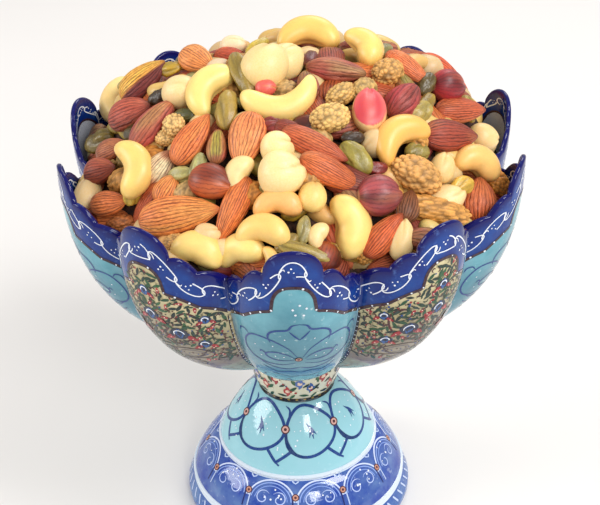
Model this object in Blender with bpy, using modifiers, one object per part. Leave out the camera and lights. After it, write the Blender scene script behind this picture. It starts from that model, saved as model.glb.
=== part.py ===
"""Footed enamel bowl with ten petals, heaped with trail mix.

Metres, +Z up. The origin is on the table, under the middle of the foot.
The bowl and its pedestal are spun and hammered copper under enamel; the heap is one body.
"""
import bpy
import bmesh
from math import acos, asin, cos, exp, hypot, pi, radians, sin, sqrt, tau
from random import Random

import numpy as np
from mathutils import Matrix, Vector

# Bowl
PETALS = 10
PEAK_HEIGHT = 0.158          # the petals' tips above the table
PETAL_RADIUS = 0.0818        # from the axis to the middle of a petal, at the rim
BOWL_DEPTH = 0.087           # from the tips down to the bottom
DEPTH_POWER = 2.6            # how full the wall is: 2 is an ellipse
RADIUS_POWER = 1.9
CREASE_RATIO = 0.85          # crease radius over petal radius, at the rim
CREASE_FADE = (0.016, 0.055)  # the creases fade out between these radii
WALL = 0.0017
BOWL_ROWS = 6
BOTTOM_START = 0.87          # share of the profile where the bottom's fan of faces begins

# Rim outline of half a petal: arc distance from its middle, drop below the tip, bulge
ARCH_HALF_WIDTH = 0.0098
ARCH_DROP = 0.0092
SCALLOP_END = 0.0183
SCALLOP_DROP = 0.0148
SCALLOP_BULGE = 0.0023
CREASE_ARC = 0.0281
CREASE_DROP = 0.0200
CREASE_BULGE = 0.0015
RIM_STATIONS = (0.0, 0.0052, 0.0092, 0.0099, 0.0140, SCALLOP_END, 0.0230, CREASE_ARC)

# Pedestal
JOINT_GAP = 0.0004
SEAT_RADIUS = 0.0198
SEAT_ROWS = (0.0, 0.010, 0.0165, SEAT_RADIUS)
SEAT_LIP = (0.0004, 0.0012)  # how far the cup's lip stands out from the seat's edge, and lies under it
CUP_SIDE = (0.0186, 0.0660)  # radius and height of the cup's bulge, waist, foot and neck
CUP_WAIST = (0.0168, 0.0570)
CUP_FOOT = (0.0144, 0.0503)
CUP_NECK = (0.0138, 0.0497)
UPPER_DOME_START = (0.0146, 0.0492)
UPPER_DOME_EDGE = (0.0300, 0.0266)
UPPER_DOME_BULGE = 1.65      # 1 is a quarter ellipse, 2 a straight slope
LOWER_DOME_START = (0.0308, 0.0246)
LOWER_DOME_EDGE = (0.0408, 0.0110)
LOWER_DOME_BULGE = 1.55
BEAD = 0.0009
FOOT_RADIUS = 0.0438
FOOT_HEIGHT = 0.0036
FOOT_TAPER = 0.0006
FOOT_NECK = (0.0416, 0.0080)
FOOT_RING = 0.0030           # width of the flat ring that it stands on
SHELL = 0.0022               # thickness of the hollow foot
HOLLOW_SHOULDER = (0.0150, 0.0400)
HOLLOW_TOP = (0.0, 0.0425)
TURN_STEPS = 32

# Heap
HEAP_GAP = 0.0006            # between the core and the bowl's wall
NUT_GAP = 0.0016             # between a nut's corners and the wall
HEAP_APEX = 0.0225           # the core's top above the petals' tips
HEAP_FALL = 0.0500           # how far the core falls from its top to the wall
HEAP_POWER = 2.45
HEAP_APEX_AT = (0.002, 0.006)
SHOULDER_AT = (0.058, 0.021)  # X to either side, and Y, where the heap is fuller
SHOULDER_REACH = 0.024
SHOULDER_RISE = 0.0085
CORE_SHARES = (0.125, 0.34, 0.52, 0.70, 0.87)  # rows of the core's side, on the profile
CORE_RINGS = (0.93, 0.82, 0.66, 0.42, 0.20)    # rings of the core's top, over its edge
NUT_RISE = (0.0012, 0.0030, 0.0050, 0.0070)   # a nut's middle above the core, by level
SCATTER_COUNT = 190
SCATTER_FROM = 0.016         # Y behind which they lie
HEAP_REACH = 0.93            # no nut's middle is nearer the wall than this
SMALLEST = 0.0098            # shorter pieces than this are not fused on
SCATTER_SEED = 7
SCATTER_KINDS = ("almond", "cashew", "round", "almond", "raisin", "dried_berry", "almond",
                 "cashew", "pistachio", "raisin")
SCATTER_SPREAD = 0.071       # radius that the scattered nuts fill
SCATTER_RISE = (0.0025, 0.0065)
SCATTER_SIZE = (0.88, 1.08)
SCATTER_TILT = (-0.3, 0.3)
NEAREST = 0.0104             # between the middles of a scattered nut and any other
CHAIN = (-0.8, -0.27, 0.27, 0.8)
SKYLINE_MARGIN = 3           # pixels
SETTLE_STEPS = 24
SETTLE_SHARE = 0.80          # how close two nuts come, as a share of their girths
SETTLE_RATE = 0.30
SETTLE_MOST = 0.003
SETTLE_RANGE = (-0.0045, 0.0035)
LEVEL_STEP = 0.005           # a shift that counts as much as one level
ANCHOR_STEPS = 30
ANCHOR_STEP = 0.0006
SINK_STEPS = 8
CORE_TOUCH = 0.15            # a nut touches the core, or another nut, within these shares of a girth
NUT_TOUCH = 0.50
WALL_STEP = 0.0007
WALL_STEPS = 26
DIP = 0.0008                 # how deep a fused nut's lowest point lies in the core
MOST_LEAN = 0.55             # tangent of the most that a nut tips towards the viewer
LEAST_FACING = 0.3
FACE_VIEWER = 1.2            # how far a nut's broad side turns from the heap's normal to the viewer
GOLDEN_TURN = pi * (3 - sqrt(5))

# Sight line of the reference picture, whose frame is 600 by 505 pixels
FRAME = (600, 505)
VIEW_DISTANCE = 0.545
VIEW_RISE = radians(32.1)
VIEW_SCALE = 1495.0          # pixels for each metre, one metre away
VIEW_ROLL = radians(-1.15)
VIEW_AIM = Vector((0.0023, 0.0, PEAK_HEIGHT - 0.0512))
VIEW_RIGHT = Vector((1, 0, 0))
VIEW_UP = Vector((0, sin(VIEW_RISE), cos(VIEW_RISE)))
VIEW_BACK = Vector((0, -cos(VIEW_RISE), sin(VIEW_RISE)))
SEARCH_SPAN = 0.130          # a sight line is followed this far either side of its aim
SEARCH_STEP = 0.0004
VIEW_EYE = VIEW_AIM + VIEW_BACK * VIEW_DISTANCE

# The nuts that the picture shows, read by eye: column, row, length, width (pixels),
# turn of the long axis in the picture (degrees), level in the heap (0 low to 3 on top)
SEEN = {
    "almond": (
        (179, 215, 85, 40, 6, 3), (233, 210, 74, 27, -117, 3), (167, 189, 34, 26, 60, 1),
        (136, 217, 56, 24, -125, 2), (109, 203, 40, 25, 5, 2), (100, 171, 34, 28, 10, 1),
        (111, 149, 34, 22, 20, 1), (192, 139, 62, 31, 55, 3), (246, 140, 60, 38, -105, 3),
        (130, 113, 46, 35, 15, 2), (197, 60, 38, 29, -35, 2), (228, 54, 30, 16, 5, 1),
        (315, 145, 74, 27, -28, 3), (333, 173, 74, 28, -29, 3), (384, 235, 58, 28, 47, 2),
        (489, 207, 48, 38, 85, 2), (451, 136, 58, 34, 0, 3), (461, 110, 54, 28, 2, 3),
        (466, 77, 72, 38, -38, 2), (423, 50, 54, 18, -8, 1), (408, 68, 54, 22, -38, 2),
        (290, 130, 34, 20, -20, 1), (408, 206, 34, 26, 70, 0), (143, 80, 58, 32, 38, 2),
        (160, 168, 45, 28, 50, 1),
    ),
    "cashew": (
        (308, 37, 82, 29, -2, 2), (281, 98, 106, 29, 192, 3), (362, 47, 52, 29, -60, 1),
        (211, 91, 74, 31, 55, 2), (104, 106, 58, 30, 78, 1), (130, 168, 72, 30, -80, 3),
        (401, 140, 78, 29, 35, 3), (489, 118, 44, 27, -60, 1), (476, 166, 56, 30, -20, 3),
        (346, 226, 76, 39, -82, 3), (277, 207, 60, 26, 0, 2), (262, 236, 68, 28, -2, 2),
        (193, 260, 62, 33, -20, 2), (238, 263, 56, 30, 8, 3), (241, 175, 44, 24, 60, 0),
        (320, 237, 30, 18, 60, 0), (268, 262, 40, 16, -95, 1),
    ),
    "round": (
        (277, 148, 36, 34, 0, 3), (281, 173, 48, 46, 0, 3), (266, 66, 48, 46, 40, 3),
        (284, 62, 40, 38, 40, 2), (182, 92, 40, 37, 0, 2), (85, 197, 36, 28, 80, 1),
        (211, 182, 46, 36, -15, 2), (444, 201, 44, 34, 20, 1), (442, 168, 30, 26, 70, 1),
        (401, 241, 44, 26, 80, 1), (485, 139, 28, 28, 0, 1), (207, 234, 28, 24, 0, 0),
        (226, 249, 28, 22, 0, 0), (233, 46, 26, 22, 0, 0), (312, 196, 32, 28, 80, 2),
        (380, 196, 44, 42, 0, 3), (448, 86, 35, 34, 0, 3), (369, 110, 45, 36, 85, 3),
        (266, 88, 20, 18, 0, 1),
    ),
    "pistachio": (
        (152, 125, 62, 29, 47, 3), (217, 147, 36, 20, 85, 2), (336, 70, 62, 23, -10, 2),
        (403, 101, 42, 33, 45, 2),
    ),
    "dried_berry": (
        (330, 117, 42, 32, 10, 3), (342, 94, 34, 23, 30, 2), (387, 72, 33, 30, 20, 2),
        (416, 175, 58, 39, -28, 3), (446, 222, 82, 29, 170, 3), (373, 267, 26, 24, 40, 2),
        (497, 183, 30, 25, -50, 2), (173, 126, 26, 23, 50, 1), (166, 138, 22, 18, 0, 0),
        (176, 243, 28, 20, 0, 0), (110, 235, 34, 20, 0, 1),
    ),
    "raisin": (
        (242, 74, 50, 24, -70, 2), (257, 47, 28, 16, 40, 1), (227, 110, 42, 26, 85, 3),
        (155, 61, 26, 18, 40, 1), (170, 69, 24, 17, 10, 1), (92, 145, 32, 25, 20, 1),
        (134, 192, 30, 20, 60, 1), (198, 166, 28, 18, 75, 1), (181, 174, 26, 18, 0, 1),
        (356, 158, 42, 27, -50, 1), (420, 112, 27, 23, 30, 2), (426, 84, 26, 20, 60, 0),
        (417, 152, 26, 20, 0, 0), (304, 252, 56, 20, -20, 3), (346, 265, 40, 17, -22, 3),
        (304, 230, 30, 15, 80, 1), (287, 243, 28, 18, 30, 1), (273, 187, 28, 16, 0, 1),
        (461, 188, 30, 20, 30, 1), (184, 115, 22, 16, 0, 0),
        (158, 97, 22, 16, 20, 0), (86, 218, 24, 16, -40, 1),
        (376, 168, 24, 16, 0, 0), (272, 125, 26, 18, 0, 0), (353, 138, 24, 16, 0, 0),
    ),
}
THICK_OVER_WIDE = {"almond": 0.62, "cashew": 0.92, "round": 0.95, "pistachio": 0.85,
                   "dried_berry": 0.9, "raisin": 0.75}
BALL = {"almond": (7, 4), "cashew": (6, 6), "round": (6, 4), "pistachio": (6, 4),
        "dried_berry": (6, 4), "raisin": (5, 4)}       # sides round and bands along a nut
# Real sizes for the nuts that the picture doesn't show: length and width
TYPICAL = {"almond": (0.0245, 0.0125), "cashew": (0.0230, 0.0088), "round": (0.0140, 0.0130),
           "pistachio": (0.0180, 0.0090), "dried_berry": (0.0165, 0.0110), "raisin": (0.0135, 0.0080)}
CASHEW_BEND = radians(150)
CASHEW_FORM = (0.72, 0.92, 0.50)  # radius of the crook, its reach and its centre, over the bend's radius
BERRY_LUMPS = (0.93, 1.07)

COPPER_ENAMEL = (0.016, 0.060, 0.300)
PEDESTAL_ENAMEL = (0.090, 0.380, 0.520)
NUT_BROWN = (0.520, 0.220, 0.090)


def clear_scene():
    for thing in list(bpy.data.objects):
        bpy.data.objects.remove(thing, do_unlink=True)


def collection(name):
    group = bpy.data.collections.new(name)
    bpy.context.scene.collection.children.link(group)
    return group


def material(name, colour, roughness, metallic=0.0):
    made = bpy.data.materials.new(name)
    made.use_nodes = True
    shader = made.node_tree.nodes["Principled BSDF"]
    shader.inputs["Base Color"].default_value = (*colour, 1.0)
    shader.inputs["Roughness"].default_value = roughness
    shader.inputs["Metallic"].default_value = metallic
    return made


def object_from(bm, name, group, finish):
    mesh = bpy.data.meshes.new(name)
    bm.to_mesh(mesh)
    bm.free()
    made = bpy.data.objects.new(name, mesh)
    made.data.materials.append(finish)
    group.objects.link(made)
    return made


def smooth_step(low, high, value):
    t = min(max((value - low) / (high - low), 0.0), 1.0)
    return t * t * (3 - 2 * t)


# The petals' plan and the wall's profile

def profile(share, inset=0.0):
    """Radius and height of a petal's middle, from the tips' level (0) to the bottom (1)."""
    turn = share * pi / 2
    radius = (PETAL_RADIUS - inset) * max(cos(turn), 0.0) ** (2 / RADIUS_POWER)
    drop = (BOWL_DEPTH - inset) * sin(turn) ** (2 / DEPTH_POWER)
    return radius, PEAK_HEIGHT - drop


def share_at(drop, inset=0.0):
    """The profile's share at a drop below the tips."""
    reach = min(max(drop / (BOWL_DEPTH - inset), 0.0), 1.0)
    return asin(reach ** (DEPTH_POWER / 2)) * 2 / pi


def petal_circle(radius):
    """A petal is an arc: how far its centre is from the axis, and its radius."""
    crease = 1 - (1 - CREASE_RATIO) * smooth_step(*CREASE_FADE, radius)
    centre = (1 - crease * crease) / (2 * (1 - crease * cos(pi / PETALS)))
    return centre * radius, (1 - centre) * radius


def plan_radius(angle, radius, inset=0.0):
    """Distance from the axis to the wall at an angle from the petal's middle."""
    centre, own = petal_circle(radius)
    own -= inset
    return centre * cos(angle) + sqrt(max(own * own - (centre * sin(angle)) ** 2, 0.0))


def rim_drop(arc):
    """Drop of the rim below the tips, at an arc distance from the petal's middle."""
    arc = min(abs(arc), CREASE_ARC)
    if arc <= ARCH_HALF_WIDTH:
        return ARCH_DROP * (1 - sqrt(1 - (arc / ARCH_HALF_WIDTH) ** 2))
    if arc <= SCALLOP_END:
        t = (arc - ARCH_HALF_WIDTH) / (SCALLOP_END - ARCH_HALF_WIDTH)
        return ARCH_DROP + (SCALLOP_DROP - ARCH_DROP) * t - SCALLOP_BULGE * 4 * t * (1 - t)
    t = (arc - SCALLOP_END) / (CREASE_ARC - SCALLOP_END)
    return SCALLOP_DROP + (CREASE_DROP - SCALLOP_DROP) * t - CREASE_BULGE * 4 * t * (1 - t)


def angle_of_arc(arc):
    """Angle about the axis of a point at an arc distance along the petal at the rim."""
    centre, own = petal_circle(PETAL_RADIUS)
    swing = arc / own
    return np.arctan2(own * sin(swing), centre + own * cos(swing))


def arc_of_angle(angle):
    centre, own = petal_circle(PETAL_RADIUS)
    reach = plan_radius(angle, PETAL_RADIUS)
    return own * acos(min((reach * cos(angle) - centre) / own, 1.0))


def petal_angle(x, y):
    """Angle from the middle of the nearest petal; the first petal faces -Y."""
    step = tau / PETALS
    turn = np.arctan2(x, -y)
    return turn - step * round(turn / step)


def on_axis_frame(radius, turn, height):
    return Vector((radius * sin(turn), -radius * cos(turn), height))


def build_bowl(group):
    stations = [-s for s in reversed(RIM_STATIONS)][:-1] + list(RIM_STATIONS[:-1])
    bm = bmesh.new()
    columns = []
    for petal in range(PETALS):
        for arc in stations:
            angle = float(angle_of_arc(arc))
            start = share_at(rim_drop(arc))
            column = []
            for row in range(BOWL_ROWS + 1):
                share = start + (BOTTOM_START - start) * row / BOWL_ROWS
                radius, height = profile(share)
                reach = plan_radius(angle, radius)
                column.append(bm.verts.new(on_axis_frame(reach, petal * tau / PETALS + angle, height)))
            columns.append(column)
    bottom = bm.verts.new((0, 0, PEAK_HEIGHT - BOWL_DEPTH))
    for this, after in zip(columns, columns[1:] + columns[:1]):
        for row in range(BOWL_ROWS):
            bm.faces.new((this[row], this[row + 1], after[row + 1], after[row]))
        bm.faces.new((this[-1], bottom, after[-1]))
    bmesh.ops.recalc_face_normals(bm, faces=bm.faces)
    bowl = object_from(bm, "bowl", group, material("blue enamel", COPPER_ENAMEL, 0.12))
    shell = bowl.modifiers.new("wall", "SOLIDIFY")
    shell.thickness = WALL
    shell.offset = -1.0
    shell.use_even_offset = True
    bowl.data.shade_smooth()
    bowl.data.set_sharp_from_angle(angle=radians(35))
    return bowl


def dome(start, end, bulge, steps):
    """Points of a dome's side from its top edge to its foot."""
    points = []
    for step in range(steps + 1):
        turn = step / steps * pi / 2
        x = start[0] + (end[0] - start[0]) * sin(turn) ** bulge
        z = end[1] + (start[1] - end[1]) * max(cos(turn), 0.0) ** bulge
        points.append((x, z))
    return points


def bead(centre, radius):
    """Half a round bead that stands out of the wall."""
    return [(centre[0] + radius * cos(t), centre[1] + radius * sin(t))
            for t in (radians(70), 0.0, radians(-70))]


def seat_height(radius):
    """Height of the pedestal's seat, a hair under the bowl's bottom."""
    drop = BOWL_DEPTH * (1 - (radius / PETAL_RADIUS) ** RADIUS_POWER) ** (1 / DEPTH_POWER)
    return PEAK_HEIGHT - JOINT_GAP - drop


def build_pedestal(group):
    seat = [(r, seat_height(r)) for r in SEAT_ROWS]
    outside = seat + [(SEAT_RADIUS + SEAT_LIP[0], seat[-1][1] - SEAT_LIP[1])]
    outside += [CUP_SIDE, CUP_WAIST, CUP_FOOT, CUP_NECK]
    outside += dome(UPPER_DOME_START, UPPER_DOME_EDGE, UPPER_DOME_BULGE, 5)
    outside += bead((UPPER_DOME_EDGE[0], UPPER_DOME_EDGE[1] - BEAD), BEAD)
    outside += dome(LOWER_DOME_START, LOWER_DOME_EDGE, LOWER_DOME_BULGE, 4)
    outside += bead((LOWER_DOME_EDGE[0], LOWER_DOME_EDGE[1] - BEAD), BEAD)
    outside += [FOOT_NECK, (FOOT_RADIUS, FOOT_HEIGHT), (FOOT_RADIUS - FOOT_TAPER, 0.0)]
    inside = [(FOOT_RADIUS - FOOT_RING, 0.0), (LOWER_DOME_EDGE[0] - SHELL, LOWER_DOME_EDGE[1] - SHELL)]
    inside += [(LOWER_DOME_START[0] - SHELL, LOWER_DOME_START[1] - SHELL), HOLLOW_SHOULDER, HOLLOW_TOP]
    bm = bmesh.new()
    points = [bm.verts.new((x, 0, z)) for x, z in outside + inside]
    for a, b in zip(points, points[1:]):
        bm.edges.new((a, b))
    pedestal = object_from(bm, "pedestal", group, material("turquoise enamel", PEDESTAL_ENAMEL, 0.12))
    turned = pedestal.modifiers.new("turned", "SCREW")
    turned.steps = TURN_STEPS
    turned.render_steps = TURN_STEPS
    turned.use_merge_vertices = True
    turned.merge_threshold = 0.00005
    turned.use_normal_calculate = True
    return pedestal


# The heap

def heap_height(x, y):
    """Height of the core's top."""
    from_axis = hypot(x, y)
    wall = plan_radius(petal_angle(x, y), PETAL_RADIUS)
    near_wall = smooth_step(0.5, 1.0, from_axis / wall)
    span = PETAL_RADIUS + (wall - PETAL_RADIUS) * near_wall
    offset = hypot(x - HEAP_APEX_AT[0] * (1 - near_wall), y - HEAP_APEX_AT[1] * (1 - near_wall))
    aside = hypot(abs(x) - SHOULDER_AT[0], y - SHOULDER_AT[1]) / SHOULDER_REACH
    shoulder = SHOULDER_RISE * exp(-aside * aside)
    return PEAK_HEIGHT + HEAP_APEX + shoulder - HEAP_FALL * min(offset / span, 1.2) ** HEAP_POWER


def heap_normal(x, y):
    step = 0.0005
    slope_x = (heap_height(x + step, y) - heap_height(x - step, y)) / (2 * step)
    slope_y = (heap_height(x, y + step) - heap_height(x, y - step)) / (2 * step)
    return Vector((-slope_x, -slope_y, 1)).normalized()


def wall_reach(x, y, z, inset):
    """How far from the axis the heap may go at a point's height and direction."""
    drop = PEAK_HEIGHT - z
    if drop >= BOWL_DEPTH - inset:
        return 0.0
    radius, _ = profile(share_at(drop, inset), inset)
    return plan_radius(petal_angle(x, y), radius + inset, inset)


def over_rim(x, y, z):
    arc = arc_of_angle(petal_angle(x, y))
    return z > PEAK_HEIGHT - rim_drop(arc) + NUT_GAP


def build_core():
    """What lies under the nuts that show: it fills the bowl and rises in the middle."""
    inset = WALL + HEAP_GAP
    turns = [tau * k / (4 * PETALS) for k in range(4 * PETALS)]
    bm = bmesh.new()
    rings = []
    for share in reversed(CORE_SHARES):
        radius, height = profile(share, inset)
        ring = []
        for turn in turns:
            reach = plan_radius(petal_angle(sin(turn), -cos(turn)), radius + inset, inset)
            ring.append(bm.verts.new(on_axis_frame(reach, turn, height)))
        rings.append(ring)
    edge = rings[-1]
    for scale in CORE_RINGS:
        ring = []
        for corner in edge:
            x, y = corner.co.x * scale, corner.co.y * scale
            ring.append(bm.verts.new((x, y, heap_height(x, y))))
        rings.append(ring)
    low = bm.verts.new((0, 0, PEAK_HEIGHT - BOWL_DEPTH + inset))
    high = bm.verts.new((0, 0, heap_height(0, 0)))
    count = len(turns)
    for below, above in zip(rings, rings[1:]):
        for k in range(count):
            bm.faces.new((below[k], below[(k + 1) % count], above[(k + 1) % count], above[k]))
    for k in range(count):
        bm.faces.new((low, rings[0][(k + 1) % count], rings[0][k]))
        bm.faces.new((high, rings[-1][k], rings[-1][(k + 1) % count]))
    bmesh.ops.recalc_face_normals(bm, faces=bm.faces)
    return bm


def sight_line(column, row):
    """Direction from the eye through a point of the picture."""
    across = column - FRAME[0] / 2
    up = FRAME[1] / 2 - row
    x = cos(VIEW_ROLL) * across - sin(VIEW_ROLL) * up
    y = sin(VIEW_ROLL) * across + cos(VIEW_ROLL) * up
    return (VIEW_RIGHT * x + VIEW_UP * y - VIEW_BACK * VIEW_SCALE).normalized()


def land(column, row, rise):
    """Where a sight line meets the heap's top raised by rise, or passes it closest."""
    way = sight_line(column, row)
    best = None
    reach = VIEW_DISTANCE - SEARCH_SPAN
    while reach < VIEW_DISTANCE + SEARCH_SPAN:
        point = VIEW_EYE + way * reach
        over = point.z - heap_height(point.x, point.y) - rise
        wall = plan_radius(petal_angle(point.x, point.y), PETAL_RADIUS)
        inside = hypot(point.x, point.y) < HEAP_REACH * wall
        if inside and (best is None or over < best[0]):
            best = (over, point, reach)
        if inside and over <= 0:
            break
        reach += SEARCH_STEP
    return best[1], best[2]


def lay(column, row, long, wide, turn, level, kind):
    """Place one nut that the picture shows: its middle, axes and real size."""
    middle, reach = land(column, row, NUT_RISE[level])
    grain = reach / VIEW_SCALE
    turn = radians(turn) - VIEW_ROLL
    normal = heap_normal(middle.x, middle.y)
    facing = max(normal.dot(VIEW_BACK), LEAST_FACING)
    flat = VIEW_RIGHT * cos(turn) + VIEW_UP * sin(turn)
    lean = min(max(-flat.dot(normal) / facing, -MOST_LEAN), MOST_LEAN)
    along = flat + VIEW_BACK * lean
    stretch = along.length
    along.normalize()
    out = (normal + VIEW_BACK * FACE_VIEWER).normalized()
    out = (out - along * out.dot(along)).normalized()
    size = (long * grain * stretch, wide * grain, wide * grain * THICK_OVER_WIDE[kind])
    return {"kind": kind, "middle": middle, "along": along, "out": out, "size": size, "level": level}


def in_picture(point):
    """Column and row of a point in the picture."""
    away = point - VIEW_EYE
    depth = -away.dot(VIEW_BACK)
    x = away.dot(VIEW_RIGHT) * VIEW_SCALE / depth
    y = away.dot(VIEW_UP) * VIEW_SCALE / depth
    across = cos(VIEW_ROLL) * x + sin(VIEW_ROLL) * y
    up = cos(VIEW_ROLL) * y - sin(VIEW_ROLL) * x
    return FRAME[0] / 2 + across, FRAME[1] / 2 - up


def skyline(column):
    """The highest row that the seen nuts reach at a column."""
    tops = [row - wide / 2 for entries in SEEN.values() for at, row, long, wide, _, _ in entries
            if abs(at - column) < long * 0.45]
    return min(tops, default=FRAME[1])


def scatter(taken):
    """Nuts for the sides that the picture doesn't show, by a golden turn with seeded draws."""
    draw = Random(SCATTER_SEED)
    placed = []
    for index in range(SCATTER_COUNT):
        radius = SCATTER_SPREAD * sqrt((index + 0.5) / SCATTER_COUNT)
        turn = index * GOLDEN_TURN
        x, y = radius * sin(turn), -radius * cos(turn)
        kind = SCATTER_KINDS[draw.randrange(len(SCATTER_KINDS))]
        long, wide = TYPICAL[kind]
        scale = draw.uniform(*SCATTER_SIZE)
        heading = draw.uniform(0, tau)
        middle = Vector((x, y, heap_height(x, y) + draw.uniform(*SCATTER_RISE)))
        near = min((middle - other["middle"]).length for other in taken + placed)
        column, row = in_picture(middle + Vector((0, 0, wide / 2)))
        if y < SCATTER_FROM or near < NEAREST or row < skyline(column) + SKYLINE_MARGIN:
            continue
        normal = heap_normal(x, y)
        along = Vector((cos(heading), sin(heading), draw.uniform(*SCATTER_TILT)))
        along = (along - normal * along.dot(normal) * 0.8).normalized()
        out = (normal - along * normal.dot(along)).normalized()
        size = (long * scale, wide * scale, wide * scale * THICK_OVER_WIDE[kind])
        placed.append({"kind": kind, "middle": middle, "along": along, "out": out,
                       "size": size, "level": 1})
    return placed


def nut_point(kind, point):
    """Move a point of the unit ball, whose poles are on Z, to a nut of length 2 and width 2."""
    x, y, z = point
    if kind == "almond":
        taper = 1 - 0.30 * z - 0.06 * z * z
        return Vector((z, x * taper, y * taper))
    if kind == "round":
        return Vector((z, x * (1 - 0.08 * z), y * (1 - 0.08 * z)))
    if kind == "pistachio":
        return Vector((z, x * (1 - 0.15 * z), y))
    ring = hypot(x, y)
    if kind == "cashew":
        fuller = sqrt(max(1 - abs(z) ** 3.0, 0.0)) / max(ring, 1e-6) if ring > 1e-6 else 1.0
        return Vector((z, x * fuller * (1 + 0.12 * z), y * fuller * (1 + 0.12 * z)))
    return Vector((z, x, y))


def nut_mesh(nut):
    """One nut in place, as a low ball that is pulled to its form."""
    kind = nut["kind"]
    around, up = BALL[kind]
    long, wide, thick = nut["size"]
    bm = bmesh.new()
    bmesh.ops.create_uvsphere(bm, u_segments=around, v_segments=up, radius=1.0)
    side = nut["out"].cross(nut["along"])
    turn = Matrix((nut["along"], side, nut["out"])).transposed()
    for index, corner in enumerate(bm.verts):
        shape = nut_point(kind, corner.co)
        local = Vector((shape.x * long / 2, shape.y * wide / 2, shape.z * thick / 2))
        if kind == "cashew":
            local = bend(local, long)
        if kind == "dried_berry":
            local *= BERRY_LUMPS[index % 2]
        corner.co = nut["middle"] + turn @ local
    bmesh.ops.recalc_face_normals(bm, faces=bm.faces)
    return bm


def bend(local, long):
    """Bend a straight cashew into its crook, open towards -Y; long is the straight length of its chord."""
    radius = long / 2 / sin(CASHEW_BEND / 2)
    turn = local.x / (long / 2) * CASHEW_BEND / 2
    crook, narrow, centre = CASHEW_FORM
    reach = radius * crook + local.y
    return Vector((reach * sin(turn) * narrow, reach * cos(turn) - radius * centre, local.z))


def settle(nuts):
    """Push crowded nuts apart along the sight line, so that each keeps its place in the picture."""
    middles = np.array([nut["middle"] for nut in nuts])
    alongs = np.array([nut["along"] for nut in nuts])
    longs = np.array([nut["size"][0] for nut in nuts])
    girths = np.array([(nut["size"][1] + nut["size"][2]) / 4 for nut in nuts])
    levels = np.array([nut["level"] for nut in nuts], float)
    eye = np.array(VIEW_EYE)
    ways = eye - middles
    ways /= np.linalg.norm(ways, axis=1)[:, None]
    shift = np.zeros(len(nuts))
    reach = np.maximum(longs / 2 - girths, 0.0)
    offsets = np.array(CHAIN)
    for _ in range(SETTLE_STEPS):
        here = middles + ways * shift[:, None]
        balls = here[:, None, :] + alongs[:, None, :] * (reach[:, None] * offsets)[:, :, None]
        flat = balls.reshape(-1, 3)
        gap = np.linalg.norm(flat[:, None, :] - flat[None, :, :], axis=2)
        gap = gap.reshape(len(nuts), 4, len(nuts), 4).min(axis=(1, 3))
        crowd = (girths[:, None] + girths[None, :]) * SETTLE_SHARE - gap
        np.fill_diagonal(crowd, 0.0)
        crowd = np.maximum(crowd, 0.0)
        above = np.sign(levels[:, None] - levels[None, :] + (shift[:, None] - shift[None, :]) / LEVEL_STEP)
        shift += SETTLE_RATE * (crowd * above).sum(axis=1).clip(-SETTLE_MOST, SETTLE_MOST)
        shift = shift.clip(*SETTLE_RANGE)
    for nut, move, way in zip(nuts, shift, ways):
        nut["middle"] = nut["middle"] + Vector(way) * float(move)


def chain(nut):
    """Four points along a nut's length, and the radius of the balls on them."""
    girth = (nut["size"][1] + nut["size"][2]) / 4
    reach = max(nut["size"][0] / 2 - girth, 0.0)
    return [nut["middle"] + nut["along"] * reach * place for place in CHAIN], girth


def anchor(nuts):
    """Slide any nut that hangs free away from the eye until it touches the heap."""
    for _ in range(ANCHOR_STEPS):
        chains = [chain(nut) for nut in nuts]
        held = {k for k, (points, girth) in enumerate(chains)
                if min(p.z - heap_height(p.x, p.y) for p in points) < girth * CORE_TOUCH}
        fresh = set(held)
        while fresh:
            reached = set()
            for k in set(range(len(nuts))) - held:
                points, girth = chains[k]
                for other in fresh:
                    others, wide = chains[other]
                    if min((a - b).length for a in points for b in others) < (girth + wide) * NUT_TOUCH:
                        reached.add(k)
                        break
            held |= reached
            fresh = reached
        free = [nut for k, nut in enumerate(nuts) if k not in held]
        if not free:
            return
        for nut in free:
            nut["middle"] = nut["middle"] - (VIEW_EYE - nut["middle"]).normalized() * ANCHOR_STEP


def clear_of_wall(corners):
    for corner in corners:
        x, y, z = corner
        if over_rim(x, y, z):
            continue
        if hypot(x, y) > wall_reach(x, y, z, WALL + NUT_GAP):
            return False
    return True


def probes(bm):
    """A nut's corners and the middles of its edges and faces."""
    middles = [(edge.verts[0].co + edge.verts[1].co) / 2 for edge in bm.edges]
    return [corner.co for corner in bm.verts] + middles + [face.calc_center_median() for face in bm.faces]


def fit_in_bowl(bm):
    """Move a nut towards the middle until it clears the wall; False where it never does."""
    for _ in range(WALL_STEPS):
        if clear_of_wall(probes(bm)):
            return True
        middle = sum((corner.co for corner in bm.verts), Vector()) / len(bm.verts)
        inward = Vector((-middle.x, -middle.y, 0)).normalized() * WALL_STEP + Vector((0, 0, WALL_STEP / 2))
        for corner in bm.verts:
            corner.co += inward
    return False


def sink(bm):
    """Slide a nut away from the eye, or down where that misses, until it dips into the core."""
    middle = sum((corner.co for corner in bm.verts), Vector()) / len(bm.verts)
    away = (middle - VIEW_EYE).normalized() * ANCHOR_STEP
    for way, steps in ((away, SINK_STEPS), (Vector((0, 0, -ANCHOR_STEP)), ANCHOR_STEPS)):
        for _ in range(steps):
            if min(corner.co.z - heap_height(corner.co.x, corner.co.y) for corner in bm.verts) < -DIP:
                return
            for corner in bm.verts:
                corner.co += way
        for corner in bm.verts:
            corner.co -= way * steps


def all_nuts():
    nuts = [lay(*entry, kind) for kind, entries in SEEN.items() for entry in entries]
    settle(nuts)
    anchor(nuts)
    nuts += scatter(nuts)
    return nuts


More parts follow.
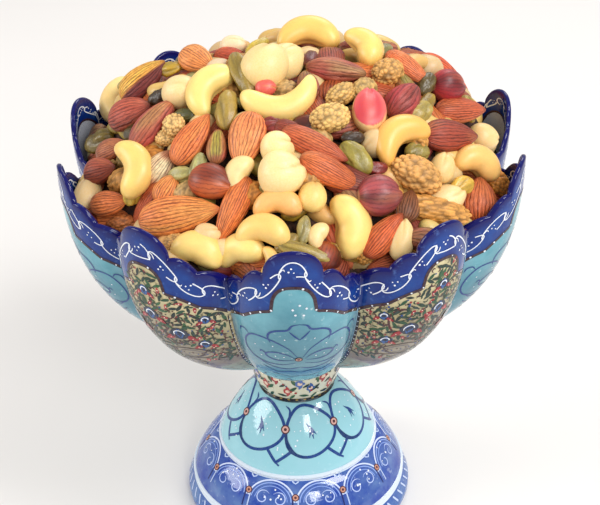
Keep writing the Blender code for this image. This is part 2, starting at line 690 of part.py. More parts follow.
def keep_largest(mesh):
    """Fill sealed hollows and drop loose scraps: only the largest closed skin stays."""
    bm = bmesh.new()
    bm.from_mesh(mesh)
    bmesh.ops.triangulate(bm, faces=bm.faces)
    left = set(bm.faces)
    skins = []
    while left:
        stack = [left.pop()]
        skin = list(stack)
        while stack:
            face = stack.pop()
            for edge in face.edges:
                if len(edge.link_faces) != 2:
                    continue
                for other in edge.link_faces:
                    if other in left:
                        left.discard(other)
                        stack.append(other)
                        skin.append(other)
        skins.append(skin)
    skins.sort(key=len, reverse=True)
    bmesh.ops.delete(bm, geom=[face for skin in skins[1:] for face in skin], context="FACES")
    bm.to_mesh(mesh)
    bm.free()


def build_trail_mix(group):
    finish = material("roasted nuts", NUT_BROWN, 0.5)
    heap = object_from(build_core(), "trail_mix", group, finish)
    pieces = collection("nuts to fuse")
    for index, nut in enumerate(all_nuts()):
        if nut["size"][0] < SMALLEST:
            continue
        bm = nut_mesh(nut)
        sink(bm)
        if not fit_in_bowl(bm):
            bm.free()
            continue
        sink(bm)
        if not clear_of_wall(probes(bm)):
            bm.free()
            continue
        object_from(bm, "nut_%03d" % index, pieces, finish)
    union = heap.modifiers.new("nuts", "BOOLEAN")
    union.operation = "UNION"
    union.operand_type = "COLLECTION"
    union.collection = pieces
    union.solver = "EXACT"
    depsgraph = bpy.context.evaluated_depsgraph_get()
    fused = bpy.data.meshes.new_from_object(heap.evaluated_get(depsgraph))
    heap.modifiers.remove(union)
    heap.data = fused
    keep_largest(fused)
    for piece in list(pieces.objects):
        bpy.data.objects.remove(piece, do_unlink=True)
    bpy.data.collections.remove(pieces)
    return heap


def main():
    clear_scene()
    group = collection("bowl_of_trail_mix")
    build_bowl(group)
    build_pedestal(group)
    build_trail_mix(group)


main()
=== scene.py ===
"""Looks of the footed enamel bowl and its heap of trail mix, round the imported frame.

Metres, +Z up; the origin is on the table under the middle of the foot, and the first petal
faces -Y. Ornament is drawn in millimetres on the surface: u across a petal from its middle,
l down the wall from the tips' level; on the foot, degrees round it and l down its profile.
"""

from math import cos, hypot, pi, radians, sin, sqrt, tau
from random import Random

import bpy
import numpy as np
from mathutils import Matrix, Vector


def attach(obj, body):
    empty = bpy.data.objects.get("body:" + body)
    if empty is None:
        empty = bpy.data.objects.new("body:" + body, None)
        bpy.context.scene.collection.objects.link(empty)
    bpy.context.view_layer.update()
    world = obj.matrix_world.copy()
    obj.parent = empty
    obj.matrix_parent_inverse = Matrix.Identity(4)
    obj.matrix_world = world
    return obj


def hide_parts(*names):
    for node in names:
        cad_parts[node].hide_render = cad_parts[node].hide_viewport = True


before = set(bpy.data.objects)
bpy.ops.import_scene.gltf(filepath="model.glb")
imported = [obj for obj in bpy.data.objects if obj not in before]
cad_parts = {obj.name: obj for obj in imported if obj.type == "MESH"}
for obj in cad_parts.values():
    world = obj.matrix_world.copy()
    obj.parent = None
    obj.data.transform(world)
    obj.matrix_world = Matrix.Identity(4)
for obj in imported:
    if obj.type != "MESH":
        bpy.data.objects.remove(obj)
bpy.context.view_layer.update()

# Bowl
PETALS = 10
PEAK_HEIGHT = 0.158
PETAL_RADIUS = 0.0818
BOWL_DEPTH = 0.087
DEPTH_POWER = 2.6
RADIUS_POWER = 1.9
CREASE_RATIO = 0.85
CREASE_FADE = (0.016, 0.055)
WALL = 0.0017
ARCH_HALF_WIDTH = 0.0098
ARCH_DROP = 0.0092
SCALLOP_END = 0.0183
SCALLOP_DROP = 0.0148
SCALLOP_BULGE = 0.0023
CREASE_ARC = 0.0281
CREASE_DROP = 0.0200
CREASE_BULGE = 0.0015

# Pedestal: radius and height of its profile's corners
SEAT_RADIUS = 0.0198
CUP_LIP = (0.0202, 0.0700)
CUP_SIDE = (0.0186, 0.0660)
CUP_WAIST = (0.0168, 0.0570)
CUP_FOOT = (0.0144, 0.0503)
CUP_NECK = (0.0138, 0.0497)
UPPER_DOME_START = (0.0146, 0.0492)
UPPER_DOME_EDGE = (0.0300, 0.0266)
UPPER_DOME_BULGE = 1.65
LOWER_DOME_START = (0.0308, 0.0246)
LOWER_DOME_EDGE = (0.0408, 0.0110)
LOWER_DOME_BULGE = 1.55
BEAD = 0.0009
FOOT_NECK = (0.0416, 0.0080)
FOOT_EDGE = (0.0438, 0.0036)
FOOT_SOLE = (0.0432, 0.0)
FOOT_RING = 0.0030
SHELL = 0.0022
HOLLOW_SHOULDER = (0.0150, 0.0400)
HOLLOW_TOP = (0.0, 0.0425)

# Heap
NUT_GAP = 0.0016
HEAP_APEX = 0.0225
HEAP_FALL = 0.0500
HEAP_POWER = 2.45
HEAP_APEX_AT = (0.002, 0.006)
SHOULDER_AT = (0.058, 0.021)         # X to either side, and Y, where the heap is fuller
SHOULDER_REACH = 0.024
SHOULDER_RISE = 0.0085
NUT_RISE = (0.0012, 0.0030, 0.0050, 0.0070)
HEAP_REACH = 0.93
SCATTER_COUNT = 190
SCATTER_FROM = 0.016                 # Y behind which they lie
SCATTER_SEED = 7
SCATTER_KINDS = ("almond", "cashew", "round", "almond", "raisin", "dried_berry", "almond",
                 "cashew", "pistachio", "raisin")
SCATTER_SPREAD = 0.071
SCATTER_RISE = (0.0025, 0.0065)
SCATTER_SIZE = (0.88, 1.08)
SCATTER_TILT = (-0.3, 0.3)
NEAREST = 0.0104
CHAIN = (-0.8, -0.27, 0.27, 0.8)
SKYLINE_MARGIN = 3
SETTLE_STEPS = 24
SETTLE_SHARE = 0.80
SETTLE_RATE = 0.30
SETTLE_MOST = 0.003
SETTLE_RANGE = (-0.0045, 0.0035)
LEVEL_STEP = 0.005
ANCHOR_STEPS = 30
ANCHOR_STEP = 0.0006
SINK_STEPS = 8
CORE_TOUCH = 0.15
NUT_TOUCH = 0.50
WALL_STEP = 0.0007
WALL_STEPS = 26
DIP = 0.0008
MOST_LEAN = 0.55
LEAST_FACING = 0.3
FACE_VIEWER = 1.2
GOLDEN_TURN = pi * (3 - sqrt(5))
FILL_COUNT = 1100                    # pieces tried between and behind the larger ones
FILL_KINDS = ("raisin", "almond", "round", "cashew", "raisin", "almond", "dried_berry",
              "cashew", "pistachio")
FILL_SPREAD = 0.0770
FILL_NEAREST = 0.0066
FILL_RISE = (0.0010, 0.0035)
FILL_SIZE = 0.86
FILL_STEP = 0.0012
FILL_STEPS = 9
FILL_SEED = 23
FILL_SHADE = 0.74
COVER_SHARE = 0.72                   # of two girths, within which one ball covers another
BEHIND_SHARE = 0.15
CORE_SINK = 0.0060                   # from the heap's top to the dark mass of painted shade under the pieces
CORE_GAP = 0.004

# Camera
FRAME = (600, 505)
VIEW_DISTANCE = 0.545
VIEW_RISE = radians(32.1)
VIEW_SCALE = 1495.0                  # pixels for each metre, one metre away
VIEW_ROLL = radians(-1.15)
VIEW_AIM = Vector((0.0023, 0.0, PEAK_HEIGHT - 0.0512))
VIEW_RIGHT = Vector((1, 0, 0))
VIEW_UP = Vector((0, sin(VIEW_RISE), cos(VIEW_RISE)))
VIEW_BACK = Vector((0, -cos(VIEW_RISE), sin(VIEW_RISE)))
VIEW_EYE = VIEW_AIM + VIEW_BACK * VIEW_DISTANCE
SENSOR = 36.0
SEARCH_SPAN = 0.130
SEARCH_STEP = 0.0004

# Studio: where each light stands, its sides and its power
LIGHT_AIM = (0, 0, 0.10)
LIGHTS = {
    "key_softbox": ((0.58, -0.36, 0.90), (0.40, 0.40), 6.7),
    "window_softbox": ((0.29, -0.79, 0.66), (0.22, 0.24), 2.0),
    "left_softbox": ((-0.85, -0.10, 0.50), (0.5, 0.4), 4.0),
    "back_softbox": ((0.25, 0.75, 0.85), (0.5, 0.4), 3.0),
}
WORLD_COLOUR = (1.0, 0.985, 0.97, 1.0)
WORLD_STRENGTH = 0.55
FLOOR_REACH = 3.0

# Ornament, millimetres
BAND_ARCH = (7.1, 22.3, 12.9)        # half width, foot and top of the panel's head
BAND_SHOULDER = (17.7, 28.6)
BAND_CREASE = (28.1, 34.6)
BAND_BULGE = 1.0
INNER_BAND = 9.0                     # depth of the blue band on the inside
VINE_WAVE = 16.03
INNER_VINE = (4.7, 11.24)            # depth and wave of the vine on the inside
PETAL_HALF = 28.0                    # where the lines that run round the rim end on a petal
DRIFTS = (1.7, 0.5, -0.6, 0.8, -0.4, 0.6, 0.3, -0.7, 0.9, -0.5)   # each panel's, off its middle
LIFT = 0.00005                       # metres of paint on the wall, and more for each layer
LAYER = 0.00003
OVALS = 7
OVAL_FIRST = 13.7
SCALES = 12
SCALE_FIRST = 13.0
NUDGE = 0.0005                       # step in turns and shares that gives a normal
FOOT_NUDGE = 0.6

# Paint
NAVY = "10125C"
WHITE = "EEF3FB"
MAROON = "35131A"
INK = "1A3F82"
CREAM = "D5CDAE"
LEAF = "16351F"
BUD = "9C1F24"
BLOOM = "285696"
RUST = "4C1C16"
PEACH = "C98E7A"
GOLD = "C9A24A"


# Colours, meshes and materials

def linear(code):
    """Linear colour of a hexadecimal one."""
    levels = np.array([int(code[k:k + 2], 16) / 255 for k in (0, 2, 4)])
    return np.where(levels <= 0.04045, levels / 12.92, ((levels + 0.055) / 1.055) ** 2.4)


def ring_faces(rows, columns):
    """Quads between closed rings of points."""
    faces = []
    for row in range(rows - 1):
        for column in range(columns):
            after = (column + 1) % columns
            faces.append((row * columns + column, row * columns + after,
                          (row + 1) * columns + after, (row + 1) * columns + column))
    return faces


def capped_faces(rows, columns):
    """Quads between closed rings, and triangles to the last two points, which close the ends."""
    last = rows * columns + 1
    start = (rows - 1) * columns
    faces = ring_faces(rows, columns)
    faces += [((k + 1) % columns, k, last - 1) for k in range(columns)]
    return faces + [(start + k, start + (k + 1) % columns, last) for k in range(columns)]


def strip_faces(count, closed):
    """Quads of a strip that has two points for each spot of its line."""
    return [(2 * k, 2 * k + 1, (2 * k + 3) % (2 * count), (2 * k + 2) % (2 * count))
            for k in range(count if closed else count - 1)]


def moved(faces, count):
    """Faces whose points come after that many others."""
    return [tuple(count + corner for corner in face) for face in faces]


def at_turns(turn, reach, height):
    """Points at turns about the axis, counted from -Y."""
    return np.stack((reach * np.sin(turn), -reach * np.cos(turn), height + 0 * turn), axis=-1)


def add_mesh(name, points, faces, finish, smooth=True, **values):
    """A mesh object from arrays; each value is one number, vector or colour for each point."""
    mesh = bpy.data.meshes.new(name)
    mesh.from_pydata(np.asarray(points).tolist(), [], faces)
    for key, numbers in values.items():
        numbers = np.asarray(numbers, float)
        if key == "colour":
            made = mesh.attributes.new(key, "FLOAT_COLOR", "POINT")
            full = np.concatenate((numbers, np.ones((len(numbers), 1))), axis=1)
            made.data.foreach_set("color", full.ravel())
        elif numbers.ndim == 2:
            made = mesh.attributes.new(key, "FLOAT_VECTOR", "POINT")
            made.data.foreach_set("vector", numbers.ravel())
        else:
            made = mesh.attributes.new(key, "FLOAT", "POINT")
            made.data.foreach_set("value", numbers.ravel())
    mesh.polygons.foreach_set("use_smooth", [smooth] * len(mesh.polygons))
    mesh.materials.append(finish)
    mesh.validate()
    mesh.update()
    piece = bpy.data.objects.new(name, mesh)
    bpy.context.scene.collection.objects.link(piece)
    return piece


class Finish:
    """A node material that is put together step by step."""

    def __init__(self, name, **sockets):
        self.material = bpy.data.materials.new(name)
        self.material.use_nodes = True
        self.tree = self.material.node_tree
        self.shader = self.tree.nodes["Principled BSDF"]
        for key, value in sockets.items():
            self.shader.inputs[key.replace("_", " ")].default_value = value

    def node(self, kind, **settings):
        made = self.tree.nodes.new(kind)
        for key, value in settings.items():
            setattr(made, key, value)
        return made

    def plug(self, start, end):
        self.tree.links.new(start, end)

    def attribute(self, name, output="Fac"):
        return self.node("ShaderNodeAttribute", attribute_name=name).outputs[output]

    def noise(self, scale, detail=3.0, rough=0.55, place=None):
        made = self.node("ShaderNodeTexNoise")
        for key, value in (("Scale", scale), ("Detail", detail), ("Roughness", rough)):
            made.inputs[key].default_value = value
        self.plug(place or self.node("ShaderNodeTexCoord").outputs["Object"], made.inputs["Vector"])
        return made.outputs["Fac"]

    def between(self, value, low, high, start=0.0, end=1.0):
        made = self.node("ShaderNodeMapRange")
        self.plug(value, made.inputs["Value"])
        for key, number in zip(("From Min", "From Max", "To Min", "To Max"), (low, high, start, end)):
            made.inputs[key].default_value = number
        return made.outputs["Result"]

    def mix(self, share, first, second, blend="MIX"):
        """Colours, as codes or outputs, mixed by a number or an output."""
        made = self.node("ShaderNodeMix", data_type="RGBA", blend_type=blend)
        for index, value in ((0, share), (6, first), (7, second)):
            socket = made.inputs[index]
            if isinstance(value, str):
                socket.default_value = (*linear(value), 1.0)
            elif isinstance(value, (int, float)):
                socket.default_value = value
            else:
                self.plug(value, socket)
        return made.outputs[2]

    def math(self, operation, first, second=0.0, third=0.0):
        made = self.node("ShaderNodeMath", operation=operation)
        for socket, value in zip(made.inputs, (first, second, third)):
            if isinstance(value, (int, float)):
                socket.default_value = value
            else:
                self.plug(value, socket)
        return made.outputs[0]

    def bump(self, height, strength, distance):
        made = self.node("ShaderNodeBump")
        made.inputs["Strength"].default_value = strength
        made.inputs["Distance"].default_value = distance
        self.plug(height, made.inputs["Height"])
        self.plug(made.outputs["Normal"], self.shader.inputs["Normal"])

    def colour(self, output):
        self.plug(output, self.shader.inputs["Base Color"])


# The bowl's wall, for arrays as well as numbers

def smooth_step(low, high, value):
    t = np.clip((value - low) / (high - low), 0.0, 1.0)
    return t * t * (3 - 2 * t)


def profile(share, inset=0.0):
    turn = share * pi / 2
    radius = (PETAL_RADIUS - inset) * np.maximum(np.cos(turn), 0.0) ** (2 / RADIUS_POWER)
    drop = (BOWL_DEPTH - inset) * np.sin(turn) ** (2 / DEPTH_POWER)
    return radius, PEAK_HEIGHT - drop


def share_at(drop, inset=0.0):
    reach = np.clip(drop / (BOWL_DEPTH - inset), 0.0, 1.0)
    return np.arcsin(reach ** (DEPTH_POWER / 2)) * 2 / pi


def petal_circle(radius):
    crease = 1 - (1 - CREASE_RATIO) * smooth_step(*CREASE_FADE, radius)
    centre = (1 - crease * crease) / (2 * (1 - crease * cos(pi / PETALS)))
    return centre * radius, (1 - centre) * radius


def plan_radius(angle, radius, inset=0.0):
    centre, own = petal_circle(radius)
    own = own - inset
    return centre * np.cos(angle) + np.sqrt(np.maximum(own * own - (centre * np.sin(angle)) ** 2, 0.0))


def rim_drop(arc):
    arc = np.minimum(np.abs(arc), CREASE_ARC)
    arch = ARCH_DROP * (1 - np.sqrt(np.maximum(1 - (arc / ARCH_HALF_WIDTH) ** 2, 0.0)))
    t = (arc - ARCH_HALF_WIDTH) / (SCALLOP_END - ARCH_HALF_WIDTH)
    scallop = ARCH_DROP + (SCALLOP_DROP - ARCH_DROP) * t - SCALLOP_BULGE * 4 * t * (1 - t)
    t = (arc - SCALLOP_END) / (CREASE_ARC - SCALLOP_END)
    last = SCALLOP_DROP + (CREASE_DROP - SCALLOP_DROP) * t - CREASE_BULGE * 4 * t * (1 - t)
    return np.where(arc <= ARCH_HALF_WIDTH, arch, np.where(arc <= SCALLOP_END, scallop, last))


def angle_of_arc(arc):
    centre, own = petal_circle(PETAL_RADIUS)
    swing = arc / own
    return np.arctan2(own * np.sin(swing), centre + own * np.cos(swing))


def arc_of_angle(angle):
    centre, own = petal_circle(PETAL_RADIUS)
    reach = plan_radius(angle, PETAL_RADIUS)
    return own * np.arccos(np.minimum((reach * np.cos(angle) - centre) / own, 1.0))


def petal_angle(x, y):
    step = tau / PETALS
    turn = np.arctan2(x, -y)
    return turn - step * np.round(turn / step)


def wall_point(turn, share, inset=0.0):
    """Points of the wall at turns about the axis and shares of the profile."""
    step = tau / PETALS
    radius, height = profile(share, inset)
    return at_turns(turn, plan_radius(turn - step * np.round(turn / step), radius + inset, inset), height)


def wall_spots(turn, share, inset=0.0):
    """Points of the wall and its normals, which point out, or in where there is an inset."""
    ends = (np.minimum(share + NUDGE, 1.0), share - NUDGE * (share > NUDGE))
    down = wall_point(turn, ends[0], inset) - wall_point(turn, ends[1], inset)
    across = wall_point(turn + NUDGE, share, inset) - wall_point(turn - NUDGE, share, inset)
    normal = np.cross(across, down) if inset else np.cross(down, across)
    return wall_point(turn, share, inset), normal / np.linalg.norm(normal, axis=1)[:, None]


SHARES = np.linspace(0.0, 1.0, 3001)
LENGTHS = np.concatenate(([0.0], np.cumsum(np.hypot(*np.diff(profile(SHARES), axis=1))))) * 1000


def share_of_length(length):
    return np.interp(length, LENGTHS, SHARES)


def length_of_drop(drop):
    return np.interp(share_at(drop), SHARES, LENGTHS)


def half_petal(length):
    """Millimetres from a petal's middle to its crease, at a length down the wall."""
    return CREASE_ARC * 1000 * profile(share_of_length(length))[0] / PETAL_RADIUS


def band_edge(u):
    """Length down the wall where the blue band ends, across a petal."""
    u = np.minimum(np.abs(u), BAND_CREASE[0])
    half, foot, top = BAND_ARCH
    arch = foot - (foot - top) * np.maximum(1 - (u / half) ** 2.6, 0.0) ** 0.42
    t = (u - half) / (BAND_SHOULDER[0] - half)
    shoulder = foot + 0.6 + (BAND_SHOULDER[1] - foot - 0.6) * t - BAND_BULGE * 4 * t * (1 - t)
    t = (u - BAND_SHOULDER[0]) / (BAND_CREASE[0] - BAND_SHOULDER[0])
    last = BAND_SHOULDER[1] + (BAND_CREASE[1] - BAND_SHOULDER[1]) * t - BAND_BULGE * 4 * t * (1 - t)
    return np.where(u <= half, arch, np.where(u <= BAND_SHOULDER[0], shoulder, last))


def petal_place(petal, drift=0.0):
    """A function that puts spots (u, l) on the outside of a petal, with the wall's normals."""
    def place(spots):
        u, length = np.asarray(spots, float).T
        half = half_petal(length)
        u = np.clip(u + drift, -half, half)
        share = share_of_length(length)
        arc = u / 1000 / (half / (CREASE_ARC * 1000))
        return wall_spots(petal * tau / PETALS + angle_of_arc(arc), share)
    return place


def inner_place(petal):
    """A function that puts spots (u, depth under the rim) on the inside of a petal."""
    def place(spots):
        u, depth = np.asarray(spots, float).T
        arc = np.clip(u / 1000, -CREASE_ARC, CREASE_ARC)
        share = share_at(rim_drop(arc) + depth / 1000)
        return wall_spots(petal * tau / PETALS + angle_of_arc(arc), share, WALL)
    return place


# The pedestal's profile

def dome(start, end, bulge, steps):
    turn = np.linspace(0.0, pi / 2, steps + 1)
    x = start[0] + (end[0] - start[0]) * np.sin(turn) ** bulge
    z = end[1] + (start[1] - end[1]) * np.maximum(np.cos(turn), 0.0) ** bulge
    return list(zip(x, z))


def bead(centre):
    return [(centre[0] + BEAD * cos(t), centre[1] - BEAD + BEAD * sin(t))
            for t in np.radians((75, 45, 15, -15, -45, -75))]


def foot_profile():
    """Corners of the outside from the cup's lip to the sole, and the zone of each stretch."""
    stretches = (
        ("cup", [CUP_LIP, (0.0197, 0.0683), CUP_SIDE, (0.0180, 0.0620), CUP_WAIST,
                 (0.0157, 0.0530), CUP_FOOT]),
        ("collar", [CUP_FOOT, CUP_NECK, UPPER_DOME_START]),
        ("upper", dome(UPPER_DOME_START, UPPER_DOME_EDGE, UPPER_DOME_BULGE, 22)),
        ("ring", bead(UPPER_DOME_EDGE)),
        ("lower", dome(LOWER_DOME_START, LOWER_DOME_EDGE, LOWER_DOME_BULGE, 18)),
        ("ring", bead(LOWER_DOME_EDGE)),
        ("base", [FOOT_NECK, (0.0426, 0.0062), FOOT_EDGE, (0.0439, 0.0018), FOOT_SOLE]),
    )
    corners = [corner for _, part in stretches for corner in part]
    zones = [zone for zone, part in stretches for _ in part]
    return np.array(corners), zones


FOOT, FOOT_ZONES = foot_profile()
FOOT_LENGTHS = np.concatenate(([0.0], np.cumsum(np.hypot(*np.diff(FOOT, axis=0).T)))) * 1000


def foot_corner(length):
    """Radius and height of the foot's outside at lengths down its profile."""
    return np.array([np.interp(length, FOOT_LENGTHS, column) for column in FOOT.T])


def foot_place(spots):
    """Spots (degrees round the foot, l down its profile) on its outside, with normals."""
    turn, length = np.asarray(spots, float).T
    turn = np.radians(turn)
    slope_x, slope_z = foot_corner(length + FOOT_NUDGE) - foot_corner(length - FOOT_NUDGE)
    size = np.hypot(slope_x, slope_z)
    return at_turns(turn, *foot_corner(length)), at_turns(turn, -slope_z / size, slope_x / size)


# Painted line work: thin enamel laid on a surface

def straight(spots, steps=10):
    """Straight stretches between spots, in short steps that follow a curved surface."""
    spots = np.asarray(spots, float)
    t = np.arange(steps * (len(spots) - 1) + 1) / steps
    return np.stack([np.interp(t, np.arange(len(spots)), column) for column in spots.T], axis=1)


def curve(spots, steps=6, closed=False):
    """A smooth line through a few spots."""
    spots = np.asarray(spots, float)
    if closed:
        ends = np.concatenate((spots[-1:], spots, spots[:2]))
    else:
        ends = np.concatenate((2 * spots[:1] - spots[1:2], spots, 2 * spots[-1:] - spots[-2:-1]))
    t = np.linspace(0.0, 1.0, steps, endpoint=False)[:, None]
    line = []
    for a, b, c, d in zip(ends, ends[1:], ends[2:], ends[3:]):
        line.append(0.5 * (2 * b + (c - a) * t + (2 * a - 5 * b + 4 * c - d) * t * t
                           + (3 * b - a - 3 * c + d) * t ** 3))
    line = np.concatenate(line)
    return line if closed else np.concatenate((line, spots[-1:]))


def spiral(centre, start, end, turns, first=0.0, steps=18):
    """Spots of a curl from one radius to another about a centre; first is where it starts."""
    t = np.linspace(0.0, 1.0, steps)
    angle = first + tau * turns * t
    radius = start + (end - start) * t
    return np.stack((centre[0] + radius * np.cos(angle), centre[1] + radius * np.sin(angle)), axis=1)


class Paint:
    """Strokes, dots and filled forms that become one thin piece."""

    def __init__(self, name):
        self.name = name
        self.points, self.faces, self.colours = [], [], []
        self.count = 0

    def add(self, points, faces, code):
        self.faces += moved(faces, self.count)
        self.points.append(points)
        self.colours.append(np.tile(linear(code), (len(points), 1)))
        self.count += len(points)

    def line(self, place, spots, width, code, layer=1, closed=False, taper=0.0):
        """A stroke of that width in millimetres; taper is the share at each end that thins."""
        points, normals = place(spots)
        if closed:
            along = np.roll(points, -1, axis=0) - np.roll(points, 1, axis=0)
        else:
            along = np.gradient(points, axis=0)
        side = np.cross(normals, along)
        side /= np.linalg.norm(side, axis=1)[:, None] + 1e-12
        wide = np.full(len(points), width / 2000)
        if taper:
            t = np.linspace(0.0, 1.0, len(points))
            wide *= 0.25 + 0.75 * smooth_step(0.0, taper, np.minimum(t, 1 - t))
        side *= wide[:, None]
        lift = normals * (LIFT + LAYER * layer)
        shape = np.stack((points + side + lift, points - side + lift), axis=1)
        self.add(shape.reshape(-1, 3), strip_faces(len(points), closed), code)

    def form(self, place, spot, outline, code, turn=0.0, size=1.0, layer=1):
        """A filled outline in millimetres, flat on the surface about a spot."""
        points, normals = place(np.array([spot, (spot[0] + 0.2, spot[1])]))
        normal = normals[0]
        right = points[1] - points[0]
        right -= normal * right.dot(normal)
        right /= np.linalg.norm(right)
        down = np.cross(right, normal) * -1
        outline = np.asarray(outline, float) * size / 1000
        x = outline[:, 0] * cos(turn) - outline[:, 1] * sin(turn)
        y = outline[:, 0] * sin(turn) + outline[:, 1] * cos(turn)
        flat = points[0] + normal * (LIFT + LAYER * layer)
        ring = flat + x[:, None] * right + y[:, None] * down
        middle = ring.mean(axis=0)[None]
        count = len(ring)
        faces = [(k, (k + 1) % count, count) for k in range(count)]
        self.add(np.concatenate((ring, middle)), faces, code)

    def dot(self, place, spot, radius, code, layer=2, sides=8):
        turn = np.linspace(0.0, tau, sides, endpoint=False)
        self.form(place, spot, np.stack((np.cos(turn), np.sin(turn)), axis=1) * radius, code, layer=layer)

    def piece(self, finish, slot):
        made = add_mesh(self.name, np.concatenate(self.points), self.faces, finish,
                        colour=np.concatenate(self.colours))
        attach(made, "root")
        return made


LEAF_FORM = curve([(0, -1.0), (0.34, -0.3), (0.30, 0.35), (0, 1.0), (-0.30, 0.35), (-0.34, -0.3)], 2, True)
DROP_FORM = curve([(0, -1.0), (0.45, 0.1), (0.3, 0.75), (0, 0.9), (-0.3, 0.75), (-0.45, 0.1)], 2, True)
DIAMOND = np.array([(0, -1.0), (0.7, 0), (0, 1.0), (-0.7, 0)])


def rosette(paint, place, spot, radius, petals, code, heart, layer=2, turn=0.0):
    """A flower of drop-shaped petals round a heart."""
    for k in range(petals):
        angle = turn + tau * k / petals
        off = (spot[0] + cos(angle) * radius * 0.62, spot[1] + sin(angle) * radius * 0.62)
        paint.form(place, off, DROP_FORM, code, turn=angle - pi / 2, size=radius * 0.55, layer=layer)
    paint.dot(place, spot, radius * 0.34, heart, layer=layer + 1)


# Enamel

def enamel(name, rough=0.10, shine=0.32):
    """Glass over paint, with soft hand-laid waves."""
    made = Finish(name, Roughness=rough, Specular_IOR_Level=shine)
    made.bump(made.noise(70.0, 2.0), 0.16, 0.0010)
    return made


def bowl_finish():
    made = enamel("bowl enamel")
    below = made.attribute("below_rim")
    band = made.attribute("band")
    crease = made.attribute("crease")
    cloud = made.noise(110.0, 4.0, 0.6)
    fine = made.noise(420.0, 3.0, 0.6)
    blue = made.mix(made.between(cloud, 0.35, 0.68), "0A2676", "134592")
    blue = made.mix(made.between(below, 5.0, 1.0), blue, NAVY)
    blue = made.mix(made.between(band, -3.0, 0.0, 0.0, 0.4), blue, NAVY)
    blue = made.mix(made.between(fine, 0.60, 0.78, 0.0, 0.35), blue, "5E86CC")
    turquoise = made.mix(made.between(cloud, 0.32, 0.70), "5C9FAE", "7BB9C6")
    # Paler towards the creases: a painted reflection, the whitish sheen at each petal's sides.
    turquoise = made.mix(made.between(crease, 7.0, 0.5, 0.0, 0.55), turquoise, "93AECB")
    # Darker further down the wall: painted shade.
    turquoise = made.mix(made.between(below, 10.0, 34.0, 0.0, 0.62), turquoise, "3F6A82")
    turquoise = made.mix(made.between(fine, 0.64, 0.74, 0.0, 0.5), turquoise, "C3DEE0")
    cream = made.mix(made.between(cloud, 0.34, 0.66), "ACA078", "D4C89E")
    cream = made.mix(made.between(fine, 0.55, 0.66, 0.0, 0.85), cream, "4E4A34")
    # Darker further down the wall: painted shade.
    cream = made.mix(made.between(below, 22.0, 44.0, 0.0, 0.75), cream, "746C68")
    panel = made.mix(made.between(made.attribute("cream"), -0.1, 0.1), turquoise, cream)
    outside = made.mix(made.between(band, -0.12, 0.12), blue, panel)
    speck = made.node("ShaderNodeTexVoronoi")
    speck.inputs["Scale"].default_value = 900.0
    pale = made.mix(made.between(speck.outputs["Distance"], 0.25, 0.42), "4C5C86", "C3CAD6")
    inside = made.mix(made.between(band, -0.12, 0.12), blue, pale)
    made.colour(made.mix(made.attribute("inside"), outside, inside))
    return made.material


def build_bowl_shell():
    """The wall in fine quads from the bottom up outside, over the lip and down inside."""
    half = BAND_ARCH[0] / 1000
    stations = set(np.round(np.linspace(0.0, CREASE_ARC, 25), 5))
    stations |= {half - 0.0001, half + 0.0001, ARCH_HALF_WIDTH - 0.0008, ARCH_HALF_WIDTH - 0.0003,
                 ARCH_HALF_WIDTH, SCALLOP_END}
    stations = np.array(sorted(stations))
    arcs = np.concatenate((-stations[:0:-1], stations[:-1]))
    turns = np.concatenate([petal * tau / PETALS + angle_of_arc(arcs) for petal in range(PETALS)])
    arcs_all = np.tile(arcs, PETALS)
    petals = np.repeat(np.arange(PETALS), len(arcs))
    drops = rim_drop(arcs_all)
    lip = WALL / 2
    start = share_at(drops + lip)
    rows = [(start + (1.0 - start) * t, 0.0) for t in np.linspace(1.0, 0.0, 54)]
    rows += [(share_at(drops + lip - lip * sin(swing)), lip * (1 - cos(swing)))
             for swing in np.radians((25, 55, 90, 125, 155))]
    start = share_at(drops + lip, WALL)
    rows += [(start + (1.0 - start) * t ** 1.4, WALL) for t in np.linspace(0.0, 1.0, 26)]
    points = np.array([wall_point(turns, share, inset) for share, inset in rows])
    shares = np.array([share for share, _ in rows])
    lengths = np.interp(shares, SHARES, LENGTHS)
    ratio = profile(shares)[0] / PETAL_RADIUS
    u = arcs_all[None, :] * 1000 * ratio
    rim_length = length_of_drop(drops)
    below = np.maximum(lengths - rim_length, 0.0)
    inner = np.array([float(inset == WALL) for _, inset in rows])[:, None] * np.ones_like(below)
    band = np.where(inner > 0.5, below - INNER_BAND, lengths - band_edge(u))
    crease = CREASE_ARC * 1000 * ratio - np.abs(u)
    cream = np.where(petals % 2 == 1, crease, -crease)
    piece = add_mesh("bowl_shell", points.reshape(-1, 3), ring_faces(*points.shape[:2]), bowl_finish(),
                     below_rim=below.ravel(), band=band.ravel(), crease=crease.ravel(),
                     cream=cream.ravel(), inside=inner.ravel())
    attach(piece, "root")
    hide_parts("bowl")
    return piece


def paint_finish():
    """Paint strokes: the stroke's own colour, a little uneven, under the same glass."""
    made = enamel("painted strokes")
    uneven = made.between(made.noise(900.0, 2.0), 0.3, 0.7, 0.0, 0.12)
    made.colour(made.mix(uneven, made.attribute("colour", "Color"), "8A93A8"))
    return made.material


def band_line(u):
    """Length down the wall of the middle of the blue band."""
    rim = length_of_drop(rim_drop(np.asarray(u) / 1000))
    return (rim + band_edge(u)) / 2


BAND_U = np.linspace(-28.1, 28.1, 401)
BAND_MIDDLE = np.convolve(np.pad(band_line(BAND_U), 30, mode="wrap"), np.full(61, 1 / 61),
                          mode="valid")


def vine_spot(x):
    return np.interp(x, BAND_U, BAND_MIDDLE)


